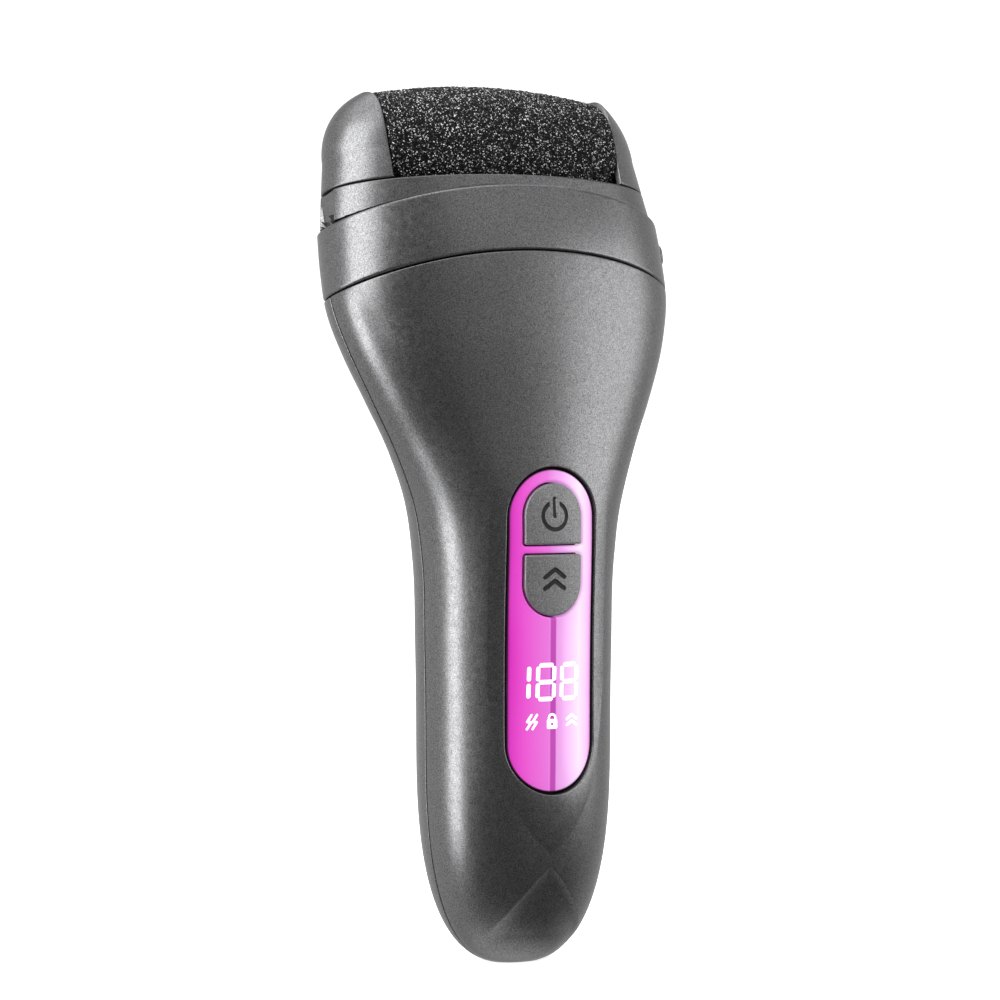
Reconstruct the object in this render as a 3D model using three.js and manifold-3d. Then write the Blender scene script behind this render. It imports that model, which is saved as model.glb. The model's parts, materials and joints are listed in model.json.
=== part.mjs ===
// Cordless electric callus remover: a hollow two-shell handle that leans back at the neck, a collar,
// and a lift-off head with a crowned abrasive roller, driven by a cross-mounted motor and spur gears.
// Millimetres, +Z up along the handle, -Y is the front (display side), origin under the tail.
import * as THREE from "three";
import { mergeVertices } from "three/addons/utils/BufferGeometryUtils.js";
import Module from "manifold-3d";

const wasm = await Module();
wasm.setup();

// ---------------------------------------------------------------- driving dimensions
const LEAN = THREE.MathUtils.degToRad(15); // the head leans back from the handle
const BEND_START = 88; // distance along the spine where the lean begins
const BEND_RADIUS = 118;
const BODY_POWER = 2.15; // superellipse exponent of the handle's section
const HALF_WIDTH = [
  [0, 19.2], [60, 19.2], [76, 19.7], [86, 21.3], [96, 25.0], [106, 29.6],
  [116, 33.7], [124, 35.8], [132, 36.0], [140, 35.6], [146, 35.4],
];
const HALF_DEPTH = [[0, 15.1], [60, 15.3], [86, 15.6], [100, 14.2], [116, 15.6], [132, 17.0], [146, 16.8]];
const TAIL_LENGTH = 44; // rounded lower end
const TAIL_POWER = 2.65;
const TAIL_FLAT = 0.5; // how much of the tip is cut off flat
const WALL = 2.0;
const GAP = 0.3; // clearance between pieces that meet
const SEAM = 0.15; // half the width of a parting line
const JOIN = 0.1; // overlap of the shapes that make up one piece
const FAR = 60; // outside the object, for shapes that cut right through
const ACROSS = [-FAR, FAR];

// the leaning frame above the bend: x across, w up along the lean, v towards the back
const COLLAR_LOW = 11.5;
const COLLAR_LOW_DROP = 4.6; // the lower seam falls this much towards the sides
const COLLAR_LOW_SPAN = 36;
const RIM = 24.4;
const RIM_DROP = 4.2;
const RIM_SPAN = 35;
const CHEEK_LINE = 27.1; // joint between the head base and the cheeks

// head envelope: an ellipse whose top corners are round in the front view
const HEAD_TOP = 47.8;
const HEAD_CORNER = 14.3;
const HEAD_HALF_LOW = 34.9; // half width at the rim
const HEAD_HALF_TOP = 33.3; // half width where the corners start
const HEAD_DEPTH = 14.6;
const SPIGOT = { half: 33.1, deep: 13.9, low: 17.8, high: 25, wall: 1.4 }; // plugs into the collar
const SIDE_NOTCH = { x: [-37, -34], v: [-3, 3], w: [17, 25.6] };
const CATCH_SLOT = { x: [27.5, 34], v: [-3.4, 3.4], w: [17, 21.1] }; // open below, for the latch nose
const CHEEK_INNER = 24.9;
const CHEEK_WALL = 1.1;
const BEARING_PLATE = { x: [24.95, 25.85], low: 18.6, step: 27.4, high: 46.4 };
const DUST_TRAY = { half: 24.5, w: [18.4, 24.6] };

// roller, which is crowned: its radius falls from mid to end
const ROLLER = { v: 0.6, w: 35.2, mid: 13.4, end: 11.1, half: 24.5, bore: 9.8, edge: 0.8, space: 0.5 };
const ROLLER_CORE = { half: 22.4, inner: 7.5 };
const ROLLER_CAP = { x: [22.7, 24.3], plug: 18.7 };
const HEX_DRIVE = 3.4; // corner radius of the hexagonal drive

// gear train, all axes parallel to X; a face is the low and high X of a toothed part
const IDLER_AXIS = { v: 0, w: 24.75 };
const DRIVE_AXIS = { v: 0, w: 11.05 };
const REDUCTION_AXIS = { v: 0, w: 2.55 };
const MOTOR_AXIS = { v: 0, w: -6.05 };
const TEETH = { roller: 12, idler: 14, drive: 20, output: 18, outputPinion: 10, input: 24, motor: 10 };
const FINAL_MODULE = 0.8;
const OUTPUT_MODULE = 0.6;
const INPUT_MODULE = 0.5;
const FINAL_FACE = [-27.4, -26.1];
const OUTPUT_FACE = [-23.2, -21.5];
const OUTPUT_PINION_FACE = [-23.6, -20.7];
const INPUT_FACE = [-20.8, -19.3];
const MOTOR_PINION_FACE = [-21.0, -19.1];
// a tooth's corners in modules: half thickness, and height above the pitch circle
const TOOTH = [[-1.0, -1.15], [-0.28, 0.9], [0.28, 0.9], [1.0, -1.15]];

const DRIVE_AXLE = { radius: 1.5, x: [-28.4, -17.2] };
const REDUCTION_AXLE = { radius: 1.0, x: [-25.2, -17.95] };
const IDLER_PIN = { radius: 1.0, x: [-28.2, -24.95], head: 1.9, headX: [-28.6, -27.8] };
const SPINDLE = { radius: 1.5, x: [-28.6, -25.9], collarX: [-26.0, -24.5], hexX: [-24.6, -19.2] };
const PIVOT_PIN = { radius: 2.5, x: [19.4, 26.2], head: 4, headX: [26.15, 27.2] };

const MOTOR = { radius: 10, flat: 7.7, x: [-17.6, 7.4], nose: 3, noseEnd: -18.6, boreEnd: -12 };
const MOTOR_CAP = { radius: 9.2, flat: 7.2, x: [7.7, 9.9] };
const MOTOR_SHAFT = { radius: 0.9, x: [-21.4, -13] };
const MOTOR_SCREW = { v: 6.2, radius: 0.6, x: [-19.3, -17.8], head: 1.4, headX: [-19.9, -19.2] };
const EAR = 3; // radius of a plate's ear round the drive axle
const BRACKET = { half: 7.4, x: [-18.9, -17.9], w: [-16.5, 11.4] };
const GEAR_PLATE = { half: 6, x: [-25.2, -24.2], w: [-3, 11.4] };

// deck across the neck, its screws and the shells' screw posts
const DECK = { w: [11.8, 13.6], x: [-25.6, 20.6] };
const DECK_GEAR_SLOT = { x: [-23.8, -20.9], v: [-6.6, 6.6] };
const DECK_AXLE_SLOT = { x: [-26, -17], v: [-3.4, 3.4] };
const SCREW = { x: 15, v: 10.6, radius: 0.8, w: [8, 15.6], head: 1.8, headW: [15.5, 16.6] };
const BOSS = { radius: 2.4, w: [1, 15.2], pilot: 1.1, pilotW: [6, 16] };
const BOSS_WEB = { half: 0.8, reach: 14.3, w: [1, 10] };

// release button in the collar, with its latch arm and spring
const RELEASE = { w: 15.3, reach: 2.8, radius: 2.2, x: [30.5, 36.3] };
const RELEASE_FLANGE = { x: [29.6, 30.6], v: [-6.4, 6.4], w: [12.2, 17.5] };
const LATCH_ARM = { x: [27.9, 29.3], v: [-2.8, 2.8], w: [13.4, 20.8] };
const LATCH_NOSE = { x: [29.2, 32.8], w: [19.5, 20.8] };
const LATCH_SPRING = { radius: 2.2, inner: 1.5, x: [21, 26.4] };

// display and buttons on the front
const FRONT_CUT = [-30, -8]; // range of Y for shapes that pass through the front wall
const LENS = { radius: 9.3, low: 42.2, high: 84.1, sunk: 0.6, back: 1.95 };
const CARRIER = { rim: 1.6, thickness: 1, windowX: [-7.4, 7.4], windowZ: [43, 60] };
const BUTTON = { half: 6.1, sunk: 0.35, foot: [-10.9, -10.2], lip: 0.6 };
const POWER_BUTTON = { flat: 79.2, centre: 84.5 };
const BOOST_BUTTON = { flat: 77.3, centre: 72.0 };
const MEMBRANE = { radius: 7.4, low: 70.5, high: 85.5, y: [-9.5, -9.2] };
const TACT_SWITCH = { half: 3, y: [-8.6, -7.9], dome: 1.6, domeY: [-8.9, -8.3] };
const DIGITS = { x: [-7, 7], y: [-11.2, -7.9], z: [43.5, 59.5] };
const DISPLAY_BOARD = { x: [-9, 9], y: [-7.6, -6.4], z: [36, 92] };

// cell, charging board and port, low in the handle
const CELL = { radius: 9.1, y: 3.4, low: 31, high: 79.3, edge: 0.4, cap: 3, capHigh: 80.5 };
const CRADLE = { half: 10.6, side: 1.2, y: [-1, 9.6], low: 28.7, high: 82.8, shelf: 2 };
const CHARGE_BOARD = { x: [-8, 8], y: [-4, 10.2], z: [20.9, 22.0] };
const SOCKET = { half: 4.5, y: [5, 12.2], z: [22.4, 25.6], wall: 0.4, back: 6 };
const SOCKET_TONGUE = { x: [-3.3, 3.3], y: [5.5, 11.4], z: [23.7, 24.3] };
const PORT = { x: [-4.8, 4.8], y: [8, 20], z: [22.2, 26.2] };
const PORT_PAD = { x: [-8.4, 8.4], y: [11.4, 20], z: [19, 29.6], sunk: 0.6 };
const COVER = { half: 6.8, low: 20.5, high: 28.1, floor: 12.9, sunk: 0.1 };
const COVER_PLUG = { x: [-4.1, 4.1], y: [12.4, 13.3], z: [23.1, 25.5] };

// ---------------------------------------------------------------- spine and sections
const BEND_END = BEND_START + BEND_RADIUS * LEAN;
const PIVOT_Y = BEND_RADIUS * (1 - Math.cos(LEAN));
const PIVOT_Z = BEND_START + BEND_RADIUS * Math.sin(LEAN);

// cubic through the stations, with slopes taken from their neighbours
function through(stations, x) {
  const last = stations.length - 1;
  const at = THREE.MathUtils.clamp(x, stations[0][0], stations[last][0]);
  let i = 0;
  while (i < last - 1 && at > stations[i + 1][0]) i += 1;
  const step = (k) => stations[k + 1][0] - stations[k][0];
  const slope = (k) => (stations[k + 1][1] - stations[k][1]) / step(k);
  const tangent = (k) => {
    if (k === 0) return slope(0);
    if (k === last) return slope(last - 1);
    return (slope(k - 1) * step(k) + slope(k) * step(k - 1)) / (step(k - 1) + step(k));
  };
  const h = step(i);
  const t = (at - stations[i][0]) / h;
  return (
    (2 * t ** 3 - 3 * t ** 2 + 1) * stations[i][1] + (t ** 3 - 2 * t ** 2 + t) * h * tangent(i) +
    (3 * t ** 2 - 2 * t ** 3) * stations[i + 1][1] + (t ** 3 - t ** 2) * h * tangent(i + 1)
  );
}

function spine(s) {
  const angle = THREE.MathUtils.clamp((s - BEND_START) / BEND_RADIUS, 0, LEAN);
  const beyond = Math.max(s - BEND_END, 0);
  const y = BEND_RADIUS * (1 - Math.cos(angle)) + beyond * Math.sin(LEAN);
  const z = Math.min(s, BEND_START) + BEND_RADIUS * Math.sin(angle) + beyond * Math.cos(LEAN);
  return { y, z, angle };
}

function tail(s) {
  const u = THREE.MathUtils.clamp(1 - (s + TAIL_FLAT) / TAIL_LENGTH, 0, 1);
  return (1 - u ** TAIL_POWER) ** (1 / TAIL_POWER);
}

function superellipse(a, b, power, angle) {
  const c = Math.cos(angle);
  const n = Math.sin(angle);
  return [a * Math.sign(c) * Math.abs(c) ** (2 / power), b * Math.sign(n) * Math.abs(n) ** (2 / power)];
}

// moulded relief on the lower front: a V-shaped valley under the display and a sunk wedge at the tail
const VALLEY_EDGE = [
  [21.6, 0], [23, 1.9], [26, 4.8], [29.5, 7.1],
  [33, 8.8], [36.6, 9.8], [42, 11], [53, 12.6],
];
const WEDGE_EDGE = [[0, 19.2], [2.3, 17], [4.5, 14.4], [6.5, 11.7], [8.4, 8.9], [10, 6.5], [11, 5]];
const VALLEY_SLOPE = 0.15; // at its edge beside the display, where it is sunk
const PROW_SLOPE = -0.14; // and near its lowest point, where its middle stands proud
const VALLEY_TURN = [30, 46]; // it changes from one to the other between these heights
const VALLEY_RUN = 6; // its floor levels out over this distance from the edge
const VALLEY_FADE = [70, 92]; // the valley runs out between these heights
const WEDGE_DEPTH = 0.55;
const WEDGE_RUN = 5;
const WEDGE_FADE = 6; // and the wedge runs out over this height at the tip
const WEDGE_SIDE_FADE = 2.8; // and over this width at its sides

function relief(x, z) {
  let depth = 0;
  if (z > VALLEY_EDGE[0][0]) {
    const fade = THREE.MathUtils.smoothstep(z, ...VALLEY_FADE);
    const turn = THREE.MathUtils.smoothstep(z, ...VALLEY_TURN);
    const slope = THREE.MathUtils.lerp(PROW_SLOPE, VALLEY_SLOPE, turn);
    const half = through(VALLEY_EDGE, z);
    const inside = Math.max((half ** 2 - x ** 2) / (2 * half), 0);
    depth += slope * VALLEY_RUN * (1 - Math.exp(-inside / VALLEY_RUN)) * (1 - fade);
  }
  const below = through(WEDGE_EDGE, Math.abs(x)) - z;
  const beside = WEDGE_EDGE[WEDGE_EDGE.length - 1][0] - Math.abs(x);
  if (below > 0 && beside > 0) {
    const run = below / WEDGE_RUN;
    const fade = Math.min(z / WEDGE_FADE, 1) * Math.min(beside / WEDGE_SIDE_FADE, 1);
    depth += WEDGE_DEPTH * run * Math.exp(1 - run) * fade;
  }
  return depth;
}

// point on the handle's outside, moved in by inset
function bodyPoint(s, angle, inset, sunk) {
  const half = through(HALF_WIDTH, s) * tail(s) - inset;
  const deep = through(HALF_DEPTH, s) * tail(s) - inset;
  const [x, v] = superellipse(half, deep, BODY_POWER, angle);
  const centre = spine(s);
  const sink = sunk && v < 0 ? relief(x, s) : 0;
  const depth = v + sink;
  const y = centre.y + depth * Math.cos(centre.angle);
  return new THREE.Vector3(x, y, centre.z - depth * Math.sin(centre.angle));
}

// the same section in the leaning frame, above the bend
function neckPoint(w, angle, inset) {
  const s = BEND_END + w;
  const [x, v] = superellipse(
    through(HALF_WIDTH, s) - inset, through(HALF_DEPTH, s) - inset, BODY_POWER, angle);
  return new THREE.Vector3(x, v, w);
}

const LOWEST_FLARE = 20; // the head's sides are upright below this

function headHalf(w, inset) {
  const start = HEAD_TOP - HEAD_CORNER;
  if (w <= start) {
    const height = Math.max(w, LOWEST_FLARE);
    return THREE.MathUtils.mapLinear(height, RIM, start, HEAD_HALF_LOW, HEAD_HALF_TOP) - inset;
  }
  const radius = HEAD_CORNER - inset;
  const rise = Math.min((w - start) / radius, 1);
  return HEAD_HALF_TOP - HEAD_CORNER + radius * Math.sqrt(1 - rise * rise);
}

function headPoint(w, angle, inset) {
  const [x, v] = superellipse(headHalf(w, inset), HEAD_DEPTH - inset, 2, angle);
  return new THREE.Vector3(x, v, w);
}

// ---------------------------------------------------------------- solids
function solid(geometry) {
  const bare = geometry.clone();
  for (const name of Object.keys(bare.attributes)) {
    if (name !== "position") bare.deleteAttribute(name);
  }
  const merged = mergeVertices(bare, 1e-4);
  return new wasm.Manifold(new wasm.Mesh({
    numProp: 3,
    vertProperties: new Float32Array(merged.attributes.position.array),
    triVerts: new Uint32Array(merged.index.array),
  }));
}

function geometryOf(manifold) {
  const mesh = manifold.getMesh();
  const geometry = new THREE.BufferGeometry();
  geometry.setAttribute("position", new THREE.BufferAttribute(new Float32Array(mesh.vertProperties), 3));
  geometry.setIndex(new THREE.BufferAttribute(new Uint32Array(mesh.triVerts), 1));
  geometry.computeVertexNormals();
  return geometry;
}

const joined = (first, ...rest) => rest.reduce((whole, piece) => whole.add(piece), first);
const less = (first, ...rest) => rest.reduce((whole, piece) => whole.subtract(piece), first);

// closed skin through rings: place(level, angle) gives a ring's points, and each end is a flat fan
function loft(levels, sides, place) {
  const rows = levels.length - 1;
  const geometry = new THREE.CylinderGeometry(1, 1, rows, sides, rows);
  const position = geometry.attributes.position;
  const point = new THREE.Vector3();
  for (let i = 0; i < position.count; i += 1) {
    point.fromBufferAttribute(position, i);
    const level = levels[Math.round(point.y + rows / 2)];
    const onAxis = Math.hypot(point.x, point.z) < 0.5;
    const target = onAxis
      ? place(level, 0).add(place(level, Math.PI)).multiplyScalar(0.5)
      : place(level, Math.atan2(-point.z, point.x));
    position.setXYZ(i, target.x, target.y, target.z);
  }
  return solid(geometry);
}

function box(x, y, z) {
  const geometry = new THREE.BoxGeometry(x[1] - x[0], y[1] - y[0], z[1] - z[0]);
  geometry.translate((x[0] + x[1]) / 2, (y[0] + y[1]) / 2, (z[0] + z[1]) / 2);
  return solid(geometry);
}

// a shape drawn in one plane and pushed through: "yz" runs along X, "xz" along Y
function prism(shape, plane, low, high, curveSegments = 8) {
  const options = { depth: high - low, bevelEnabled: false, curveSegments };
  const geometry = new THREE.ExtrudeGeometry(shape, options);
  geometry.translate(0, 0, low);
  const turn = new THREE.Matrix4();
  if (plane === "yz") {
    turn.makeBasis(new THREE.Vector3(0, 1, 0), new THREE.Vector3(0, 0, 1), new THREE.Vector3(1, 0, 0));
  } else {
    geometry.translate(0, 0, -low - high);
    turn.makeBasis(new THREE.Vector3(1, 0, 0), new THREE.Vector3(0, 0, 1), new THREE.Vector3(0, -1, 0));
  }
  geometry.applyMatrix4(turn);
  return solid(geometry);
}

// round bar along X
function bar(radius, x, axis, sides = 20) {
  const geometry = new THREE.CylinderGeometry(radius, radius, x[1] - x[0], sides);
  geometry.rotateZ(-Math.PI / 2);
  geometry.translate((x[0] + x[1]) / 2, axis.v, axis.w);
  return solid(geometry);
}

// round bar along the lean
function post(radius, w, x, v, sides = 16) {
  const geometry = new THREE.CylinderGeometry(radius, radius, w[1] - w[0], sides);
  geometry.rotateX(Math.PI / 2);
  geometry.translate(x, v, (w[0] + w[1]) / 2);
  return solid(geometry);
}

// body of revolution about an X axis: profile points are [x, radius], outside first, from low x to high x
function turned(profile, axis, sides) {
  const points = profile.map(([x, radius]) => new THREE.Vector2(radius, x));
  const geometry = new THREE.LatheGeometry([...points, points[0]], sides);
  geometry.rotateZ(Math.PI / 2);
  geometry.scale(-1, -1, 1);
  geometry.translate(0, axis.v, axis.w);
  return solid(geometry);
}

// straight-flanked spur gear: phase is the angle of one tooth, from +v towards +w
function gear(teeth, module, face, axis, phase, bore) {
  const pitch = (teeth * module) / 2;
  const points = [];
  for (let tooth = 0; tooth < teeth; tooth += 1) {
    const middle = phase + (tooth * 2 * Math.PI) / teeth;
    for (const [across, out] of TOOTH) {
      const radius = pitch + out * module;
      const angle = middle + (across * module) / radius;
      points.push(new THREE.Vector2(axis.v + radius * Math.cos(angle), axis.w + radius * Math.sin(angle)));
    }
  }
  const wheel = prism(new THREE.Shape(points), "yz", face[0], face[1]);
  return wheel.subtract(bar(bore, [face[0] - 1, face[1] + 1], axis, 16));
}

// phase that puts the second gear in mesh with the first
function meshedPhase(phase, teeth, from, to, otherTeeth) {
  const direction = Math.atan2(to.w - from.w, to.v - from.v);
  const fraction = (direction - phase) / ((2 * Math.PI) / teeth);
  return direction + Math.PI + (fraction + 0.5) * ((2 * Math.PI) / otherTeeth);
}

function rectangle([left, right], [low, high]) {
  return new THREE.Shape([
    new THREE.Vector2(left, low), new THREE.Vector2(right, low),
    new THREE.Vector2(right, high), new THREE.Vector2(left, high),
  ]);
}

// upright pill, centred on X = 0
function pill(radius, low, high) {
  const shape = new THREE.Shape();
  shape.absarc(0, high, radius, 0, Math.PI, false);
  shape.absarc(0, low, radius, Math.PI, 2 * Math.PI, false);
  shape.closePath();
  return shape;
}

function circle(radius, z) {
  const shape = new THREE.Shape();
  shape.absarc(0, z, radius, 0, 2 * Math.PI, false);
  return shape;
}

// button outline: flat on one side and a half circle on the other, grown by margin
function buttonShape({ flat, centre }, margin) {
  const shape = new THREE.Shape();
  const half = BUTTON.half + margin;
  if (centre > flat) {
    shape.moveTo(-half, flat - margin);
    shape.lineTo(half, flat - margin);
    shape.absarc(0, centre, half, 0, Math.PI, false);
  } else {
    shape.moveTo(half, flat + margin);
    shape.lineTo(-half, flat + margin);
    shape.absarc(0, centre, half, Math.PI, 2 * Math.PI, false);
  }
  shape.closePath();
  return shape;
}

// everything above an arched line w = top - drop * (x / span)^2 in the leaning frame
function aboveArch(top, drop, span) {
  const edge = 42; // beyond the neck's half width
  const steps = 12;
  const points = [new THREE.Vector2(FAR, FAR), new THREE.Vector2(-FAR, FAR)];
  for (let i = 0; i <= steps; i += 1) {
    const x = -edge + (2 * edge * i) / steps;
    const reach = Math.abs(x) === edge ? FAR : edge;
    points.push(new THREE.Vector2(reach * (x / edge), top - drop * (x / span) ** 2));
  }
  return prism(new THREE.Shape(points), "xz", -FAR, FAR);
}

const lean = new THREE.Matrix4().makeRotationX(-LEAN).setPosition(0, PIVOT_Y, PIVOT_Z);
const inWorld = (manifold) => solid(geometryOf(manifold).applyMatrix4(lean));

// ---------------------------------------------------------------- handle shells
const OUTER_LEVELS = [
  0, 0.7, 2, 4, 7, 10, 13, 16, 19, 22, 26, 30, 35, 41, 50, 62, 76, 84, 90, 96, 102, 108, 114, 120, 126, 134,
];
const INNER_LEVELS = [3, 5, 9, 15, 24, 40, 70, 82, 90, 98, 106, 114, 120, 128, 140];
const PLAIN_LEVELS = [0, 0.7, 2, 4, 7, 11, 16, 23, 32, 46, 76, 84, 90, 96, 102, 108, 114, 120, 126, 134];
const PORT_LEVELS = [16, 20, 24, 28, 32];
const DISPLAY_LEVELS = [38, 62, 82];
const DISPLAY_ENDS = [27, 98];
const COLLAR_LEVELS = [8, 16];
const COLLAR_ENDS = [0, 26];

const cavity = loft(INNER_LEVELS, 24, (s, a) => bodyPoint(s, a, WALL, false));
const collarSeam = inWorld(aboveArch(COLLAR_LOW - SEAM, COLLAR_LOW_DROP, COLLAR_LOW_SPAN));

// everything in front of the parting surface, which follows the spine
function frontHalf(offset) {
  const below = -5;
  const above = 160;
  const shape = new THREE.Shape();
  shape.moveTo(offset, below);
  for (const s of [BEND_START, 92, 96, 100, 105, 110, 115, BEND_END, above]) {
    const at = spine(s);
    shape.lineTo(at.y + offset * Math.cos(at.angle), at.z - offset * Math.sin(at.angle));
  }
  shape.lineTo(-FAR, above);
  shape.lineTo(-FAR, below);
  shape.closePath();
  return prism(shape, "yz", -FAR, FAR);
}

const screwPlaces = [[-1, -1], [1, -1], [-1, 1], [1, 1]].map(([i, j]) => [i * SCREW.x, j * SCREW.v]);

// screw post moulded to a shell, with a web to the wall
function boss([x, v]) {
  const { half, reach, w } = BOSS_WEB;
  const web = box([x - half, x + half], v > 0 ? [v, reach] : [-reach, v], w);
  const pilot = post(BOSS.pilot, BOSS.pilotW, x, v, 12);
  return inWorld(joined(post(BOSS.radius, BOSS.w, x, v), web).subtract(pilot));
}

function frontShell() {
  const skin = loft(OUTER_LEVELS, 36, (s, a) => bodyPoint(s, a, 0, true)).subtract(cavity);
  const half = skin.intersect(frontHalf(-SEAM)).subtract(collarSeam);
  const opening = prism(pill(LENS.radius + GAP, LENS.low, LENS.high), "xz", ...FRONT_CUT, 10);
  return joined(half.subtract(opening), ...screwPlaces.filter((at) => at[1] < 0).map(boss));
}

function rearShell() {
  const skin = loft(PLAIN_LEVELS, 32, (s, a) => bodyPoint(s, a, 0, false)).subtract(cavity);
  const half = skin.subtract(frontHalf(SEAM)).subtract(collarSeam);
  const pad = loft(PORT_LEVELS, 36, (s, a) => bodyPoint(s, a, PORT_PAD.sunk, false))
    .intersect(box(PORT_PAD.x, PORT_PAD.y, PORT_PAD.z));
  const recess = box([-COVER.half - GAP, COVER.half + GAP], [COVER.floor, FAR],
    [COVER.low - GAP, COVER.high + GAP]);
  const slot = box(PORT.x, PORT.y, PORT.z);
  const bosses = screwPlaces.filter((at) => at[1] > 0).map(boss);
  return less(joined(half, pad, ...bosses), recess, slot);
}

// ---------------------------------------------------------------- display and buttons
// the handle's section moved in by inset, over the stretch that the display takes up
const skinAt = (inset, beyond = 0) =>
  loft([DISPLAY_ENDS[0] - beyond, ...DISPLAY_LEVELS, DISPLAY_ENDS[1] + beyond], 36,
    (s, a) => bodyPoint(s, a, inset, false));

const buttonHoles = joined(
  prism(buttonShape(POWER_BUTTON, GAP), "xz", ...FRONT_CUT),
  prism(buttonShape(BOOST_BUTTON, GAP), "xz", ...FRONT_CUT));

function displayLens() {
  const plate = prism(pill(LENS.radius, LENS.low, LENS.high), "xz", ...FRONT_CUT, 10);
  return less(plate.intersect(skinAt(LENS.sunk)), skinAt(LENS.back, 1), buttonHoles);
}

function lensCarrier() {
  const plate = prism(pill(LENS.radius + CARRIER.rim, LENS.low, LENS.high), "xz", ...FRONT_CUT, 10);
  const window = prism(rectangle(CARRIER.windowX, CARRIER.windowZ), "xz", ...FRONT_CUT);
  const front = WALL + GAP;
  return less(plate.intersect(skinAt(front)), skinAt(front + CARRIER.thickness, 1),
    buttonHoles, window);
}

function button(place) {
  const cap = prism(buttonShape(place, 0), "xz", FRONT_CUT[0], BUTTON.foot[0]);
  const foot = prism(buttonShape(place, BUTTON.lip), "xz", ...BUTTON.foot);
  return cap.intersect(skinAt(BUTTON.sunk)).add(foot);
}

function tactSwitch({ centre }) {
  const { half, y, dome, domeY } = TACT_SWITCH;
  const base = box([-half, half], y, [centre - half, centre + half]);
  return base.add(prism(circle(dome, centre), "xz", ...domeY, 6));
}

function buttonMembrane() {
  return prism(pill(MEMBRANE.radius, MEMBRANE.low, MEMBRANE.high), "xz", ...MEMBRANE.y, 6);
}

// ---------------------------------------------------------------- power pack and port
function batteryCell() {
  const { radius, y, low, high, edge, cap, capHigh } = CELL;
  const profile = [
    [0, low], [radius - edge, low], [radius, low + edge], [radius, high - edge],
    [radius - edge, high], [cap, high], [cap, capHigh], [0, capHigh],
  ];
  const geometry = new THREE.LatheGeometry(profile.map(([r, z]) => new THREE.Vector2(r, z)), 28);
  geometry.rotateX(Math.PI / 2);
  geometry.translate(0, y, 0);
  return solid(geometry);
}

function batteryCradle() {
  const { half, side, y, low, high, shelf } = CRADLE;
  return joined(
    box([-half, half], y, [low, low + shelf]),
    box([-half, half], y, [high - shelf, high]),
    box([-half, side - half], y, [low, high]),
    box([half - side, half], y, [low, high]));
}

function usbSocket() {
  const { half, y, z, wall, back } = SOCKET;
  const inner = box([wall - half, half - wall], [back, FAR], [z[0] + wall, z[1] - wall]);
  return box([-half, half], y, z).subtract(inner)
    .add(box(SOCKET_TONGUE.x, SOCKET_TONGUE.y, SOCKET_TONGUE.z));
}

function portCover() {
  const skin = loft(PORT_LEVELS, 44, (s, a) => bodyPoint(s, a, COVER.sunk, false));
  const flap = box([-COVER.half, COVER.half], [COVER.floor + GAP, FAR], [COVER.low, COVER.high]);
  return flap.intersect(skin).add(box(COVER_PLUG.x, COVER_PLUG.y, COVER_PLUG.z));
}

// ---------------------------------------------------------------- collar and deck
function collar() {
  const [low, high] = COLLAR_ENDS;
  const skin = loft([low, ...COLLAR_LEVELS, high], 36, (w, a) => neckPoint(w, a, 0));
  const inside = loft([low - 1, ...COLLAR_LEVELS, high + 1], 28, (w, a) => neckPoint(w, a, WALL));
  return less(
    skin.subtract(inside).intersect(aboveArch(COLLAR_LOW + SEAM, COLLAR_LOW_DROP, COLLAR_LOW_SPAN)),
    aboveArch(RIM, RIM_DROP, RIM_SPAN),
    prism(releaseShape(GAP), "yz", RELEASE_FLANGE.x[0] - 1, FAR, 6));
}

function releaseShape(margin) {
  const shape = new THREE.Shape();
  const radius = RELEASE.radius + margin;
  shape.absarc(RELEASE.reach, RELEASE.w, radius, -Math.PI / 2, Math.PI / 2, false);
  shape.absarc(-RELEASE.reach, RELEASE.w, radius, Math.PI / 2, (3 * Math.PI) / 2, false);
  shape.closePath();
  return shape;
}

function releaseButton() {
  const flange = box(RELEASE_FLANGE.x, RELEASE_FLANGE.v, RELEASE_FLANGE.w);
  return prism(releaseShape(0), "yz", ...RELEASE.x, 6).add(flange);
}

function latchArm() {
  return joined(box(LATCH_ARM.x, LATCH_ARM.v, LATCH_ARM.w), box(LATCH_NOSE.x, LATCH_ARM.v, LATCH_NOSE.w));
}

function latchSpring() {
  const axis = { v: 0, w: RELEASE.w };
  return bar(LATCH_SPRING.radius, LATCH_SPRING.x, axis, 16)
    .subtract(bar(LATCH_SPRING.inner, [0, FAR], axis, 16));
}

function deckPlate() {
  const plate = loft(DECK.w, 32, (w, a) => neckPoint(w, a, WALL + GAP));
  const through = [DECK.w[0] - 1, DECK.w[1] + 1];
  return less(plate,
    box([-FAR, DECK.x[0]], [-FAR, FAR], through),
    box([DECK.x[1], FAR], [-FAR, FAR], through),
    box(DECK_GEAR_SLOT.x, DECK_GEAR_SLOT.v, through),
    box(DECK_AXLE_SLOT.x, DECK_AXLE_SLOT.v, through),
    ...screwPlaces.map(([x, v]) => post(BOSS.radius + GAP, through, x, v)));
}

function deckScrew([x, v]) {
  return joined(post(SCREW.head, SCREW.headW, x, v, 12), post(SCREW.radius, SCREW.w, x, v, 10));
}

// ---------------------------------------------------------------- motor and gear train
const rollerPhase = Math.atan2(IDLER_AXIS.w - ROLLER.w, IDLER_AXIS.v - ROLLER.v);
const idlerPhase = meshedPhase(rollerPhase, TEETH.roller, ROLLER, IDLER_AXIS, TEETH.idler);
const drivePhase = meshedPhase(idlerPhase, TEETH.idler, IDLER_AXIS, DRIVE_AXIS, TEETH.drive);
const outputPinionPhase = meshedPhase(0, TEETH.output, DRIVE_AXIS, REDUCTION_AXIS, TEETH.outputPinion);
const motorPhase = meshedPhase(0, TEETH.input, REDUCTION_AXIS, MOTOR_AXIS, TEETH.motor);

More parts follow.
